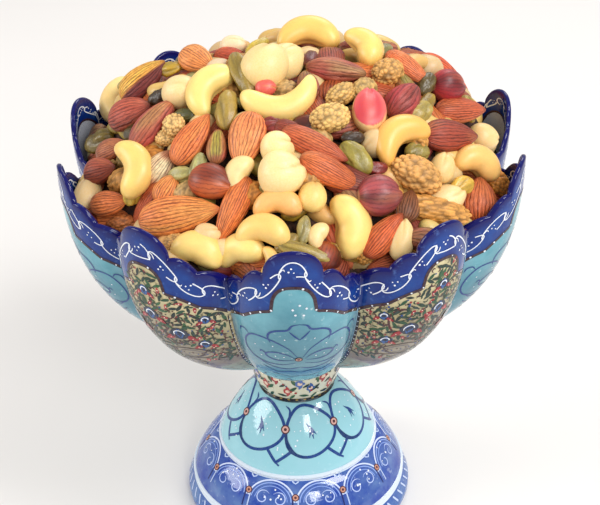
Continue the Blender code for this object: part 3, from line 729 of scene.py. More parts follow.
def vine(place, paint, middle, wave, rise, reach, width, draw, flip=1):
    """A chain of round arcs over and under a line, each curled in at its end, with dots in it."""
    loops = int(2 * reach / wave)
    size = wave / VINE_WAVE
    for k in range(-loops, loops + 1):
        heart = k * wave / 2
        way = flip * (1 if k % 2 else -1)
        swing = np.linspace(pi + 0.50, -1.20, 26)
        curl = 1 - 0.40 * smooth_step(0.3, -1.20, swing)
        x = heart + 0.275 * wave * np.cos(swing) * curl
        length = middle(x) + way * rise * np.sin(swing) * curl
        spots = np.stack((np.clip(x, -reach, reach), length), axis=1)
        paint.line(place, spots, width, WHITE, layer=2)
        if abs(heart) + wave / 3 < reach:
            tick = [(heart - 0.27 * wave, 1.0), (heart - 0.19 * wave, 1.5), (heart - 0.15 * wave, 0.5)]
            line = [(a, float(middle(a)) + b * way * size) for a, b in tick]
            paint.line(place, curve(line, 4), width * 0.8, WHITE, layer=2, taper=0.12)
        for a, b in ((-1.3, -0.2), (0.3, -0.5), (-0.5, 0.9)):
            rise_of_dot = (b + draw.uniform(-0.2, 0.2)) * way * size
            spot = (heart + a * size, float(middle(heart)) + rise_of_dot)
            paint.dot(place, spot, draw.uniform(0.24, 0.38) * size, WHITE)


def paint_band(paint):
    """The white vine on the blue band, and the dark line with pearls under it."""
    draw = Random(3)
    for petal in range(PETALS):
        place = petal_place(petal)
        vine(place, paint, vine_spot, VINE_WAVE, 3.3, 28.05, 0.42, draw, 1 - 2 * (petal % 2))
        half = BAND_ARCH[0]
        edge = np.concatenate((np.linspace(-PETAL_HALF, -half, 22),
                               np.linspace(-half + 0.02, half - 0.02, 33),
                               np.linspace(half, PETAL_HALF, 22)))
        paint.line(place, np.stack((edge, band_edge(edge)), axis=1), 1.15, MAROON)
        for at in (-26.5, -22.5, -17.7, -14.6, -10.8, -half, -3.2, 3.0, half, 10.6, 14.8, 17.7, 22.4,
                   26.5):
            spot = (at, float(band_edge(at)) + draw.uniform(-0.15, 0.15))
            paint.dot(place, spot, draw.uniform(0.24, 0.42), WHITE)


def paint_inside(paint):
    """The inside's white vine, and a dark line where its band ends."""
    draw = Random(4)
    depth, wave = INNER_VINE
    for petal in range(PETALS):
        place = inner_place(petal)
        vine(place, paint, lambda x: depth + 0 * x, wave, 1.6, 27.9, 0.42, draw)
        edge = np.linspace(-PETAL_HALF, PETAL_HALF, 40)
        paint.line(place, np.stack((edge, np.full(40, INNER_BAND)), axis=1), 0.8, MAROON)


# Half of the line work on a turquoise panel, as spots right of its middle; the left is its mirror
CROWN = ((0.0, 28.0), (2.4, 28.6), (3.9, 30.6), (7.6, 31.4), (9.9, 33.0), (10.4, 35.4), (9.6, 37.8))
DIAMOND_LINE = ((0.0, 35.4), (1.6, 33.6), (3.4, 31.2))
SIDE_LOOP = ((0.9, 45.6), (3.6, 40.6), (8.2, 37.0), (13.4, 35.6), (17.2, 36.6), (19.4, 40.6),
             (19.0, 45.6), (15.6, 49.6), (10.6, 51.4), (5.6, 51.2), (1.6, 49.6))
SIDE_HOOK = ((17.6, 36.8), (19.4, 35.0), (21.4, 35.4), (21.8, 37.4))
FISH = ((1.6, 46.6), (4.0, 44.2), (7.6, 43.0), (10.6, 44.0), (11.4, 45.8), (9.4, 47.6), (6.0, 48.2),
        (2.0, 47.4))
FISH_TAIL = ((11.2, 45.2), (12.8, 43.6), (13.6, 44.6))
WAVES = (((0.0, 53.2), (4.0, 54.6), (8.4, 54.0), (12.0, 52.2), (15.0, 49.6)),
         ((0.0, 58.0), (3.6, 56.8), (7.0, 58.2), (10.2, 56.4), (12.6, 54.6)),
         ((0.0, 62.4), (3.4, 63.4), (6.6, 61.8), (9.4, 60.2)))


def paint_turquoise(paint, petal, drift):
    place = petal_place(petal, drift)
    for way in (-1, 1):
        for spots, width in ((CROWN, 0.78), (DIAMOND_LINE, 0.6), (SIDE_LOOP, 0.66), (SIDE_HOOK, 0.55),
                             (FISH, 0.65), (FISH_TAIL, 0.55)):
            paint.line(place, curve(spots, 5) * (way, 1), width, INK, taper=0.25)
        for spots in WAVES:
            paint.line(place, curve(spots, 5) * (way, 1), 0.5, INK, taper=0.1)
        for spot in ((5.2, 45.6), (8.0, 45.4), (15.2, 41.0), (13.0, 46.8), (8.8, 39.6), (4.8, 35.4)):
            paint.dot(place, (spot[0] * way, spot[1]), 0.26, WHITE)
    for spot in ((-2.0, 21.6), (0.2, 19.8), (2.3, 21.2), (-1.2, 23.8), (1.4, 24.0)):
        paint.dot(place, spot, 0.42, WHITE)
    paint.dot(place, (-0.5, 47.0), 1.35, MAROON, sides=12)
    paint.dot(place, (-0.5, 47.0), 0.95, "B08476", layer=3, sides=10)
    paint.dot(place, (-0.5, 47.0), 0.5, RUST, layer=4)


SCROLLS = (
    (((0.0, 50.0), (5.0, 48.6), (11.0, 45.0), (15.5, 39.6), (16.4, 33.6), (12.6, 31.0), (9.4, 33.6),
      (11.0, 36.6)), 0.80, RUST),
    (((0.2, 19.4), (2.6, 23.4), (1.6, 28.6), (5.6, 31.0), (8.8, 29.4)), 0.65, "2C4A2C"),
    (((5.0, 48.6), (3.0, 43.0), (5.6, 38.6), (4.4, 34.6)), 0.65, RUST),
    (((15.5, 39.6), (18.6, 42.0), (18.4, 46.6)), 0.65, "2C4A2C"),
    (((0.0, 66.0), (3.4, 60.6), (9.6, 57.6), (14.6, 51.6)), 0.8, MAROON),
)
BLOOMS = ((8.4, 41.6, 3.1), (-8.6, 41.2, 3.1), (0.3, 33.6, 2.8), (15.0, 47.6, 2.3), (-14.8, 47.2, 2.3),
          (0.1, 23.2, 2.1), (18.6, 34.4, 1.9), (-18.4, 34.2, 1.9))
LEAF_TONES = ("12331C", "1F4A26", "0D2416", "2E5A30", "16301F")
MOTIFS = (("leaf", 1.75), ("curl", 1.5), ("leaf", 1.5), ("bud", 1.4), ("curl", 1.2), ("leaf", 1.25),
          ("berry", 0.70), ("leaf", 0.95), ("berry", 0.48))
MOTIF_TONES = {"leaf": LEAF_TONES, "curl": (LEAF, RUST, RUST), "bud": (BUD, "B8403C", BUD),
               "berry": (BUD, INK, RUST, LEAF, "1A1A20")}
MOTIF_TRIES = 430
MOTIF_SPAN = (15.0, 61.0)


def paint_cream(paint, petal, drift):
    """Scrolls and flowers, ovals with dots in them at the bottom, and small motifs between."""
    place = petal_place(petal, drift)
    draw = Random(40 + petal)
    taken = []

    def free(u, length, room):
        if abs(u) > half_petal(length) - 1.0 - room or length < band_edge(u) + 0.6 + room:
            return False
        return all(hypot(u - a, length - b) > room + c for a, b, c in taken)

    for way in (-1, 1):
        for spots, width, code in SCROLLS:
            paint.line(place, curve(spots, 5) * (way, 1), width, code, taper=0.15)
        for u, length, long, wide in ((8.4, 54.8, 7.0, 3.9), (4.9, 63.8, 4.4, 2.9)):
            t = np.linspace(0, tau, 20, endpoint=False)
            oval = np.stack(((u + long * np.cos(t)) * way, length + wide * np.sin(t)), axis=1)
            inner = oval * 0.62 + np.array((u * way, length)) * 0.38
            paint.line(place, oval, 0.5, MAROON, layer=2, closed=True)
            paint.line(place, inner, 0.3, "6A6470", layer=2, closed=True)
            for k in range(7):
                at = (u + (k - 3) * long * 0.22) * way, length + wide * 0.1 * (-1) ** k
                paint.dot(place, at, 0.34, RUST if k % 2 else INK, sides=6)
            taken.append((u * way, length, long * 0.8))
    for u, length, radius in BLOOMS:
        paint.dot(place, (u, length), radius * 1.02, "141C34", sides=12)
        rosette(paint, place, (u, length), radius, 6, BLOOM, "101C3C", layer=3, turn=draw.uniform(0, 1))
        arc = spiral((u, length), radius * 0.62, radius * 0.55, 0.55, first=pi * 0.9, steps=8)
        paint.line(place, arc, 0.42, WHITE, layer=5)
        for side in (-1, 1):
            bud = (u + side * radius * 1.2, length + radius * 0.8)
            paint.form(place, bud, DROP_FORM, BUD, turn=side * 0.9, size=radius * 0.78, layer=4)
            paint.dot(place, (bud[0], bud[1] + 0.2), 0.3, "E9B0A0", layer=5, sides=6)
            leaf = (u + side * radius * 0.9, length - radius * 1.15)
            paint.form(place, leaf, LEAF_FORM, LEAF_TONES[1], turn=side * 2.2, size=radius * 0.62, layer=4)
        taken.append((u, length, radius * 1.25))
    for kind, size in MOTIFS:
        for _ in range(MOTIF_TRIES):
            length = draw.uniform(*MOTIF_SPAN)
            u = draw.uniform(-1, 1) * half_petal(length)
            if not free(u, length, size * 0.38):
                continue
            taken.append((u, length, size * 0.54))
            turn = draw.uniform(0, tau)
            code = draw.choice(MOTIF_TONES[kind])
            if kind == "curl":
                spots = spiral((u, length), size * 0.9, size * 0.3, 0.6, first=turn, steps=8)
                paint.line(place, spots, 0.50, code, layer=2, taper=0.3)
            elif kind == "berry":
                paint.dot(place, (u, length), size * 0.7, code, sides=6)
            else:
                form = LEAF_FORM if kind == "leaf" else DROP_FORM
                paint.form(place, (u, length), form, code, turn=turn, size=size)
            if kind == "bud":
                paint.dot(place, (u, length), size * 0.2, "F0D8C8", layer=3, sides=6)


def paint_creases(paint):
    """Dark lines down the creases, with white pearls on the cream side."""
    inset = 0.55
    length = np.linspace(35.0, 84.0, 50)
    for petal in range(PETALS):
        place = petal_place(petal)
        cream = petal % 2 == 1
        for way in (-1, 1):
            line = np.stack((way * (half_petal(length) - inset), length), axis=1)
            paint.line(place, line, 0.95 if cream else 0.45, "2B1C1E" if cream else INK, layer=2)
            for at in np.arange(37.0, 80.0, 2.6) if cream else ():
                spot = (way * (half_petal(at) - inset), at)
                paint.dot(place, spot, 0.26, WHITE, layer=3, sides=6)


# Pedestal

ZONE_PAINT = {"cup": CREAM, "collar": "1B1720", "upper": "94CBD6", "ring": "D9E2EE",
              "lower": "1A3F9E", "base": "2350A2", "under": "5E7396"}


def pedestal_finish():
    made = enamel("pedestal enamel", 0.08, 0.60)
    cloud = made.between(made.noise(95.0, 4.0, 0.6), 0.36, 0.70, 0.0, 0.28)
    fine = made.between(made.noise(420.0, 3.0, 0.6), 0.62, 0.76, 0.0, 0.35)
    tone = made.mix(cloud, made.attribute("colour", "Color"), "A8CFE0")
    made.colour(made.mix(fine, tone, "D6E6F0"))
    return made.material


def build_pedestal_shell():
    under = [(FOOT_EDGE[0] - FOOT_RING, 0.0), (LOWER_DOME_EDGE[0] - SHELL, LOWER_DOME_EDGE[1] - SHELL),
             (LOWER_DOME_START[0] - SHELL, LOWER_DOME_START[1] - SHELL), HOLLOW_SHOULDER, HOLLOW_TOP]
    seat = [(0.0, 0.0712), (0.010, 0.0713), (SEAT_RADIUS, 0.0712)]
    corners = seat + [tuple(corner) for corner in FOOT] + under
    zones = ["cup"] * len(seat) + FOOT_ZONES + ["under"] * len(under)
    columns = 128
    turn = np.arange(columns) * tau / columns
    points, colours, faces = [], [], []
    for k in range(len(corners) - 1):
        zone = "ring" if "ring" in (zones[k], zones[k + 1]) else zones[k + 1]
        points += [at_turns(turn, *corner) for corner in corners[k:k + 2]]
        colours.append(np.tile(linear(ZONE_PAINT[zone]), (2 * columns, 1)))
        faces += [face[::-1] for face in moved(ring_faces(2, columns), 2 * k * columns)]
    piece = add_mesh("pedestal_shell", np.concatenate(points), faces, pedestal_finish(),
                     colour=np.concatenate(colours))
    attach(piece, "root")
    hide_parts("pedestal")
    return piece


def ringed_knot(paint, spot, radius, code):
    """A small flower of three rings where lines meet."""
    paint.dot(foot_place, spot, radius, RUST, layer=2, sides=14)
    paint.dot(foot_place, spot, radius * 0.74, code, layer=3, sides=12)
    paint.dot(foot_place, spot, radius * 0.36, RUST, layer=4)


def paint_upper_dome(paint, draw):
    """Drop-like ovals in a ring, with knots between them and angled lines under the knots."""
    place = foot_place
    step = 360 / OVALS
    for k in range(OVALS):
        turn = OVAL_FIRST + k * step
        t = np.linspace(0, tau, 48, endpoint=False)
        oval = np.stack((turn + 25.0 * np.cos(t), 33.4 + (9.6 - 2.2 * np.cos(t)) * np.sin(t)), axis=1)
        paint.line(place, oval, 1.15, INK, closed=True)
        paint.line(place, oval[14:26], 1.7, "163468", layer=2, taper=0.5)
        for first, last, width in (((-4.5, 30.4), (1.0, 36.6), 1.0), ((4.4, 35.2), (-2.6, 36.0), 0.9)):
            spots = curve([(turn + first[0], first[1]), (turn, 33.2), (turn + last[0], last[1])], 5)
            paint.line(place, spots, width, INK, taper=0.4)
        paint.form(place, (turn, 33.4), DIAMOND, INK, size=1.5)
        for _ in range(11):
            spot = (turn + draw.uniform(-17, 17), 33.0 + draw.uniform(-6, 6))
            paint.dot(place, spot, draw.uniform(0.2, 0.4), WHITE, sides=6)
        knot = turn + step / 2
        ringed_knot(paint, (knot, 32.8), 1.7, "D9A79C")
        angled = [(knot - 15, 40.6), (knot - 5.5, 45.6), (knot + 6.5, 41.0)]
        paint.line(place, straight(angled), 1.15, INK)
        paint.line(place, straight([(knot - 5.5, 45.6), (knot - 2.6, 46.8)], 3), 0.7, INK)
        hook = [(knot - 3, 24.0), (knot + 3, 25.6), (knot + 2, 28.8)]
        paint.line(place, curve(hook, 4), 0.7, INK, taper=0.3)
        for _ in range(3):
            spot = (knot + draw.uniform(-8, 8), 40.0 + draw.uniform(0, 3))
            paint.dot(place, spot, 0.3, WHITE, sides=6)


def paint_lower_dome(paint, draw):
    """Triple arcs in a ring with curls and dots in each, and knots between them."""
    place = foot_place
    step = 360 / SCALES
    swing = np.linspace(pi, 0.0, 25)
    round_arc = np.stack((14.4 * np.cos(swing), -7.6 * np.sin(swing)), axis=1)
    for k in range(SCALES):
        turn = SCALE_FIRST + k * step
        for scale, width, code in ((1.0, 0.62, "D2DDFA"), (0.86, 0.42, "8FA9E6"), (0.70, 0.36, "7F9BDE")):
            paint.line(place, round_arc * scale + (turn, 61.4), width, code)
        for way in (-1, 1):
            curl = spiral((0, 0), 3.0, 0.8, 1.15 * way, first=pi / 2 + way * 2.2) * (1.6, 1)
            paint.line(place, curl + (turn + way * 5.2, 60.8), 0.42, "B7C8F4", taper=0.2)
        for _ in range(6):
            spot = (turn + draw.uniform(-8, 8), 57.6 + draw.uniform(-3.0, 3.6))
            paint.dot(place, spot, draw.uniform(0.24, 0.45), WHITE, sides=6)
        knot = turn + step / 2
        for off, code in ((-1.6, NAVY), (1.6, "BCCDF0")):
            paint.line(place, straight([(knot + off, 60.4), (knot + off, 66.0)]), 0.5, code)
        ringed_knot(paint, (knot, 59.6), 1.4, PEACH)
        cusp = [(knot - 6, 50.0), (knot, 54.4), (knot + 6, 50.0)]
        paint.line(place, curve(cusp, 4), 0.5, "BCCDF0", taper=0.2)
        paint.dot(place, (knot, 51.6), 0.4, WHITE, sides=6)


# Leaves between the cup's flowers: degrees on from a pair of them, l, lean and size
CUP_LEAVES = ((11, 6.6, 0.7, 2.3), (-5, 13.6, -0.8, 2.2), (26, 9.2, 0.3, 2.1), (10, 17.4, 1.4, 1.9),
              (24, 18.0, -0.6, 1.8), (12, 11.8, 2.2, 1.6))


def paint_cup(paint, draw):
    """Red and blue flowers with leaves between them, and a dark ring with gold dots below."""
    place = foot_place
    turns = np.linspace(0, 360, 46)
    paint.line(place, np.stack((turns, np.full(46, 20.4)), axis=1), 1.7, "1A141C")
    for k in range(12):
        turn = k * 30.0
        lift = 0.8 * (-1) ** k
        petals = (BUD if k % 2 else "4E6CA8", "B03A34" if k % 3 else BLOOM)
        rosette(paint, place, (turn + 4, 9.4 + lift), 3.0, 5, petals[0], "E9C9B0")
        rosette(paint, place, (turn + 18, 14.0 - lift), 2.7, 5, petals[1], "E9C9B0")
        for a, b, lean, size in CUP_LEAVES:
            paint.form(place, (turn + a, b), LEAF_FORM, draw.choice(LEAF_TONES), turn=lean, size=size)
        for _ in range(7):
            spot = (turn + draw.uniform(0, 30), draw.uniform(6.0, 18.6))
            radius = draw.uniform(0.4, 0.7)
            code = draw.choice((BUD, INK, "EFE6CC", MAROON))
            paint.dot(place, spot, radius, code, layer=4, sides=6)
    for k in range(30):
        paint.dot(place, (k * 12.0, 20.4), 0.6, GOLD, layer=3, sides=6)


def paint_foot(paint):
    draw = Random(11)
    paint_upper_dome(paint, draw)
    paint_lower_dome(paint, draw)
    paint_cup(paint, draw)
    for k in range(60):
        turn = k * 6.0
        paint.line(foot_place, straight([(turn, 75.3), (turn + 2.6, 78.6)]), 0.8, "C3D2F2")


# The heap: where each nut lies

# Column, row, length, width (pixels), turn of the long axis in the picture (degrees), level
SEEN = {
    "almond": (
        (179, 215, 85, 40, 6, 3), (233, 210, 74, 27, -117, 3), (167, 189, 34, 26, 60, 1),
        (136, 217, 56, 24, -125, 2), (109, 203, 40, 25, 5, 2), (100, 171, 34, 28, 10, 1),
        (111, 149, 34, 22, 20, 1), (192, 139, 62, 31, 55, 3), (246, 140, 60, 38, -105, 3),
        (130, 113, 46, 35, 15, 2), (197, 60, 38, 29, -35, 2), (228, 54, 30, 16, 5, 1),
        (315, 145, 74, 27, -28, 3), (333, 173, 74, 28, -29, 3), (384, 235, 58, 28, 47, 2),
        (489, 207, 48, 38, 85, 2), (451, 136, 58, 34, 0, 3), (461, 110, 54, 28, 2, 3),
        (466, 77, 72, 38, -38, 2), (423, 50, 54, 18, -8, 1), (408, 68, 54, 22, -38, 2),
        (290, 130, 34, 20, -20, 1), (408, 206, 34, 26, 70, 0), (143, 80, 58, 32, 38, 2),
        (160, 168, 45, 28, 50, 1),
    ),
    "cashew": (
        (308, 37, 82, 29, -2, 2), (281, 98, 106, 29, 192, 3), (362, 47, 52, 29, -60, 1),
        (211, 91, 74, 31, 55, 2), (104, 106, 58, 30, 78, 1), (130, 168, 72, 30, -80, 3),
        (401, 140, 78, 29, 35, 3), (489, 118, 44, 27, -60, 1), (476, 166, 56, 30, -20, 3),
        (346, 226, 76, 39, -82, 3), (277, 207, 60, 26, 0, 2), (262, 236, 68, 28, -2, 2),
        (193, 260, 62, 33, -20, 2), (238, 263, 56, 30, 8, 3), (241, 175, 44, 24, 60, 0),
        (320, 237, 30, 18, 60, 0), (268, 262, 40, 16, -95, 1),
    ),
    "round": (
        (277, 148, 36, 34, 0, 3), (281, 173, 48, 46, 0, 3), (266, 66, 48, 46, 40, 3),
        (284, 62, 40, 38, 40, 2), (182, 92, 40, 37, 0, 2), (85, 197, 36, 28, 80, 1),
        (211, 182, 46, 36, -15, 2), (444, 201, 44, 34, 20, 1), (442, 168, 30, 26, 70, 1),
        (401, 241, 44, 26, 80, 1), (485, 139, 28, 28, 0, 1), (207, 234, 28, 24, 0, 0),
        (226, 249, 28, 22, 0, 0), (233, 46, 26, 22, 0, 0), (312, 196, 32, 28, 80, 2),
        (380, 196, 44, 42, 0, 3), (448, 86, 35, 34, 0, 3), (369, 110, 45, 36, 85, 3),
        (266, 88, 20, 18, 0, 1),
    ),
    "pistachio": (
        (152, 125, 62, 29, 47, 3), (217, 147, 36, 20, 85, 2), (336, 70, 62, 23, -10, 2),
        (403, 101, 42, 33, 45, 2),
    ),
    "dried_berry": (
        (330, 117, 42, 32, 10, 3), (342, 94, 34, 23, 30, 2), (387, 72, 33, 30, 20, 2),
        (416, 175, 58, 39, -28, 3), (446, 222, 82, 29, 170, 3), (373, 267, 26, 24, 40, 2),
        (497, 183, 30, 25, -50, 2), (173, 126, 26, 23, 50, 1), (166, 138, 22, 18, 0, 0),
        (176, 243, 28, 20, 0, 0), (110, 235, 34, 20, 0, 1),
    ),
    "raisin": (
        (242, 74, 50, 24, -70, 2), (257, 47, 28, 16, 40, 1), (227, 110, 42, 26, 85, 3),
        (155, 61, 26, 18, 40, 1), (170, 69, 24, 17, 10, 1), (92, 145, 32, 25, 20, 1),
        (134, 192, 30, 20, 60, 1), (198, 166, 28, 18, 75, 1), (181, 174, 26, 18, 0, 1),
        (356, 158, 42, 27, -50, 1), (420, 112, 27, 23, 30, 2), (426, 84, 26, 20, 60, 0),
        (417, 152, 26, 20, 0, 0), (304, 252, 56, 20, -20, 3), (346, 265, 40, 17, -22, 3),
        (304, 230, 30, 15, 80, 1), (287, 243, 28, 18, 30, 1), (273, 187, 28, 16, 0, 1),
        (461, 188, 30, 20, 30, 1), (184, 115, 22, 16, 0, 0),
        (158, 97, 22, 16, 20, 0), (86, 218, 24, 16, -40, 1),
        (376, 168, 24, 16, 0, 0), (272, 125, 26, 18, 0, 0), (353, 138, 24, 16, 0, 0),
    ),
}
# Skin colour of each nut above, in the same order; nuts that lie in shade have darker tints, which are
# painted shade
TINTS = {
    "almond": (
        "EE8850", "E88048", "DE8850", "B85A3C", "DC7A4A", "8E4234", "A5614C", "E07A48", "E8845A",
        "A04A40", "E8935C", "B8503C", "B8583C", "BC6038", "C05A34", "B45834", "963E2E", "BC5A3C",
        "CC5A3A", "B05A38", "D4704A", "8E3A2E", "7A4A30", "E8A850", "EBCDBB",
    ),
    "cashew": (
        "F2D478", "F9E492", "F4D67C", "F5E08A", "F3DF9C", "F2D37C", "F2C064", "F0D07C", "F4C878",
        "F8DC84", "F0BE78", "F8D682", "F6DA86", "F8DE8A", "EAD9A0", "EED9A0", "F4D080",
    ),
    "round": (
        "FBF0C4", "FBF0C4", "F6E7B8", "F6E7B8", "F8E8C0", "F3E3BE", "8A3A24", "F5E6BE", "EAD9A8",
        "EBDCB0", "F0DDB0", "EBD9B4", "EBD9B4", "F6EAD8", "F5DE9A", "944448", "A02C34", "E25A62",
        "D96A70",
    ),
    "pistachio": ("D0905C", "B0A040", "B98A5C", "A84840"),
    "dried_berry": (
        "D9C080", "C8AE70", "CDA868", "D0A868", "D2A45C", "E2B264", "D89C48", "D8C088", "D8C088",
        "C9A56A", "A86B3A",
    ),
    "raisin": (
        "8A7430", "B09838", "9A8038", "A98A2C", "A98A2C", "6B5A1E", "B89A3A", "9C9860", "9C9458",
        "96883A", "A08C44", "5A4A20", "8A7C3C", "9A843E", "94702C", "988A50", "85703A", "8C8044",
        "C8A040", "4A4A20", "3A2A18", "6A2A1C", "7A2A24", "7A2A24", "3A2818",
    ),
}
THICK_OVER_WIDE = {"almond": 0.62, "cashew": 0.92, "round": 0.95, "pistachio": 0.85,
                   "dried_berry": 0.9, "raisin": 0.75}
BALL = {"almond": (7, 4), "cashew": (6, 6), "round": (6, 4), "pistachio": (6, 4),
        "dried_berry": (6, 4), "raisin": (5, 4)}
TYPICAL = {"almond": (0.0245, 0.0125), "cashew": (0.0230, 0.0088), "round": (0.0140, 0.0130),
           "pistachio": (0.0180, 0.0090), "dried_berry": (0.0165, 0.0110), "raisin": (0.0135, 0.0080)}
HALF_SKINNED = "E8A850"
BLANCHED = "EBCDBB"
SPLIT = "E25A62"
SKINNED = {"8A3A24": "D2703C", "944448": "D89064", "A02C34": "D8785C"}   # and their bare patches
CASHEW_BEND = radians(150)
CASHEW_FORM = (0.72, 0.92, 0.50)
DRUPELETS = 150                      # on a dried berry


def heap_height(x, y):
    from_axis = np.hypot(x, y)
    wall = plan_radius(petal_angle(x, y), PETAL_RADIUS)
    near_wall = smooth_step(0.5, 1.0, from_axis / wall)
    span = PETAL_RADIUS + (wall - PETAL_RADIUS) * near_wall
    offset = np.hypot(x - HEAP_APEX_AT[0] * (1 - near_wall), y - HEAP_APEX_AT[1] * (1 - near_wall))
    aside = np.hypot(np.abs(x) - SHOULDER_AT[0], y - SHOULDER_AT[1]) / SHOULDER_REACH
    shoulder = SHOULDER_RISE * np.exp(-aside * aside)
    return PEAK_HEIGHT + HEAP_APEX + shoulder - HEAP_FALL * np.minimum(offset / span, 1.2) ** HEAP_POWER


def heap_normal(x, y):
    step = 0.0005
    slope_x = float(heap_height(x + step, y) - heap_height(x - step, y)) / (2 * step)
    slope_y = float(heap_height(x, y + step) - heap_height(x, y - step)) / (2 * step)
    return Vector((-slope_x, -slope_y, 1)).normalized()


def sight_line(column, row):
    across = column - FRAME[0] / 2
    up = FRAME[1] / 2 - row
    x = cos(VIEW_ROLL) * across - sin(VIEW_ROLL) * up
    y = sin(VIEW_ROLL) * across + cos(VIEW_ROLL) * up
    return (VIEW_RIGHT * x + VIEW_UP * y - VIEW_BACK * VIEW_SCALE).normalized()


def land(column, row, rise):
    """Where a sight line meets the heap's top raised by rise, or passes it closest."""
    way = sight_line(column, row)
    reaches = np.arange(VIEW_DISTANCE - SEARCH_SPAN, VIEW_DISTANCE + SEARCH_SPAN, SEARCH_STEP)
    points = np.array(VIEW_EYE)[None] + np.array(way)[None] * reaches[:, None]
    over = points[:, 2] - heap_height(points[:, 0], points[:, 1]) - rise
    wall = plan_radius(petal_angle(points[:, 0], points[:, 1]), PETAL_RADIUS)
    inside = np.hypot(points[:, 0], points[:, 1]) < HEAP_REACH * wall
    best = int(np.argmax(inside))
    for k in range(len(reaches)):
        if inside[k] and over[k] < over[best]:
            best = k
        if inside[k] and over[k] <= 0:
            break
    return Vector(points[best]), reaches[best]


def new_nut(kind, middle, along, out, long, wide, level, tint, seen):
    return {"kind": kind, "middle": middle, "along": along, "out": out, "level": level, "tint": tint,
            "size": (long, wide, wide * THICK_OVER_WIDE[kind]), "seen": seen}


def lay(column, row, long, wide, turn, level, kind, tint):
    """A nut that shows in the picture, from its place and its measures there."""
    middle, reach = land(column, row, NUT_RISE[level])
    grain = reach / VIEW_SCALE
    turn = radians(turn) - VIEW_ROLL
    normal = heap_normal(middle.x, middle.y)
    facing = max(normal.dot(VIEW_BACK), LEAST_FACING)
    flat = VIEW_RIGHT * cos(turn) + VIEW_UP * sin(turn)
    lean = min(max(-flat.dot(normal) / facing, -MOST_LEAN), MOST_LEAN)
    along = flat + VIEW_BACK * lean
    stretch = along.length
    along.normalize()
    out = (normal + VIEW_BACK * FACE_VIEWER).normalized()
    out = (out - along * out.dot(along)).normalized()
    return new_nut(kind, middle, along, out, long * grain * stretch, wide * grain, level, tint, True)


def in_picture(point):
    away = point - VIEW_EYE
    depth = -away.dot(VIEW_BACK)
    x = away.dot(VIEW_RIGHT) * VIEW_SCALE / depth
    y = away.dot(VIEW_UP) * VIEW_SCALE / depth
    return (FRAME[0] / 2 + cos(VIEW_ROLL) * x + sin(VIEW_ROLL) * y,
            FRAME[1] / 2 - cos(VIEW_ROLL) * y + sin(VIEW_ROLL) * x)


def below_outline(nut, rise):
    """Pixels from the heap's outline in the picture, and its margin, down to a nut's top."""
    column, row = in_picture(nut["middle"] + Vector((0, 0, rise)))
    tops = [top - wide / 2 for entries in SEEN.values() for at, top, long, wide, _, _ in entries
            if abs(at - column) < long * 0.45]
    return row - min(tops, default=FRAME[1]) - SKYLINE_MARGIN


def loose_nuts(count, spread, kinds, rise, draw, colours):
    """Nuts of the usual sizes over the whole heap, each lying at random."""
    for index in range(count):
        radius = spread * sqrt((index + 0.5) / count)
        turn = index * GOLDEN_TURN
        x, y = radius * sin(turn), -radius * cos(turn)
        kind = kinds[draw.randrange(len(kinds))]
        long, wide = TYPICAL[kind]
        scale = draw.uniform(*SCATTER_SIZE)
        heading = draw.uniform(0, tau)
        middle = Vector((x, y, float(heap_height(x, y)) + draw.uniform(*rise)))
        normal = heap_normal(x, y)
        along = Vector((cos(heading), sin(heading), draw.uniform(*SCATTER_TILT)))
        along = (along - normal * along.dot(normal) * 0.8).normalized()
        out = (normal - along * normal.dot(along)).normalized()
        tint = TINTS[kind][colours.randrange(len(TINTS[kind]))]
        yield new_nut(kind, middle, along, out, long * scale, wide * scale, 1, tint, False)


def nearest(nut, others):
    return min((nut["middle"] - other["middle"]).length for other in others)


def balls_in_view(nuts):
    """Each nut's chain of balls as the eye has them: place across and up, depth and girth."""
    rows = []
    for nut in nuts:
        points, girth = chain(nut)
        for point in points:
            away = point - VIEW_EYE
            depth = -away.dot(VIEW_BACK)
            rows.append((away.dot(VIEW_RIGHT) / depth, away.dot(VIEW_UP) / depth, depth, girth))
    return np.array(rows)


def hides(nut, seen):
    """Whether a nut would cover one that the picture shows, given as balls in view."""
    for across, up, depth, girth in balls_in_view([nut]):
        apart = np.hypot(seen[:, 0] - across, seen[:, 1] - up)
        over = apart < COVER_SHARE * (seen[:, 3] / seen[:, 2] + girth / depth)
        if np.any(over & (depth < seen[:, 2] + BEHIND_SHARE * (seen[:, 3] + girth))):
            return True
    return False


def scatter(taken):
    """The nuts that the solid heap has on the sides that the picture doesn't show."""
    seen = balls_in_view(taken)
    placed = []
    for nut in loose_nuts(SCATTER_COUNT, SCATTER_SPREAD, SCATTER_KINDS, SCATTER_RISE,
                          Random(SCATTER_SEED), Random(FILL_SEED)):
        if nut["middle"].y < SCATTER_FROM or nearest(nut, taken + placed) < NEAREST:
            continue
        if below_outline(nut, TYPICAL[nut["kind"]][1] / 2) >= 0 and not hides(nut, seen):
            placed.append(nut)
    return placed


def fill(taken):
    """Pieces behind and under the ones that show, as deep as it takes not to cover them."""
    seen = balls_in_view([nut for nut in taken if nut["seen"]])
    placed = []
    for nut in loose_nuts(FILL_COUNT, FILL_SPREAD, FILL_KINDS, FILL_RISE, Random(FILL_SEED),
                          Random(FILL_SEED + 1)):
        nut["size"] = tuple(side * FILL_SIZE for side in nut["size"])
        nut["level"] = 0
        for _ in range(FILL_STEPS):
            if below_outline(nut, nut["size"][1] * 0.6) > 0 and not hides(nut, seen):
                break
            nut["middle"] = nut["middle"] - Vector((0, 0, FILL_STEP))
        else:
            continue
        if nearest(nut, taken + placed) >= FILL_NEAREST:
            placed.append(nut)
    return placed


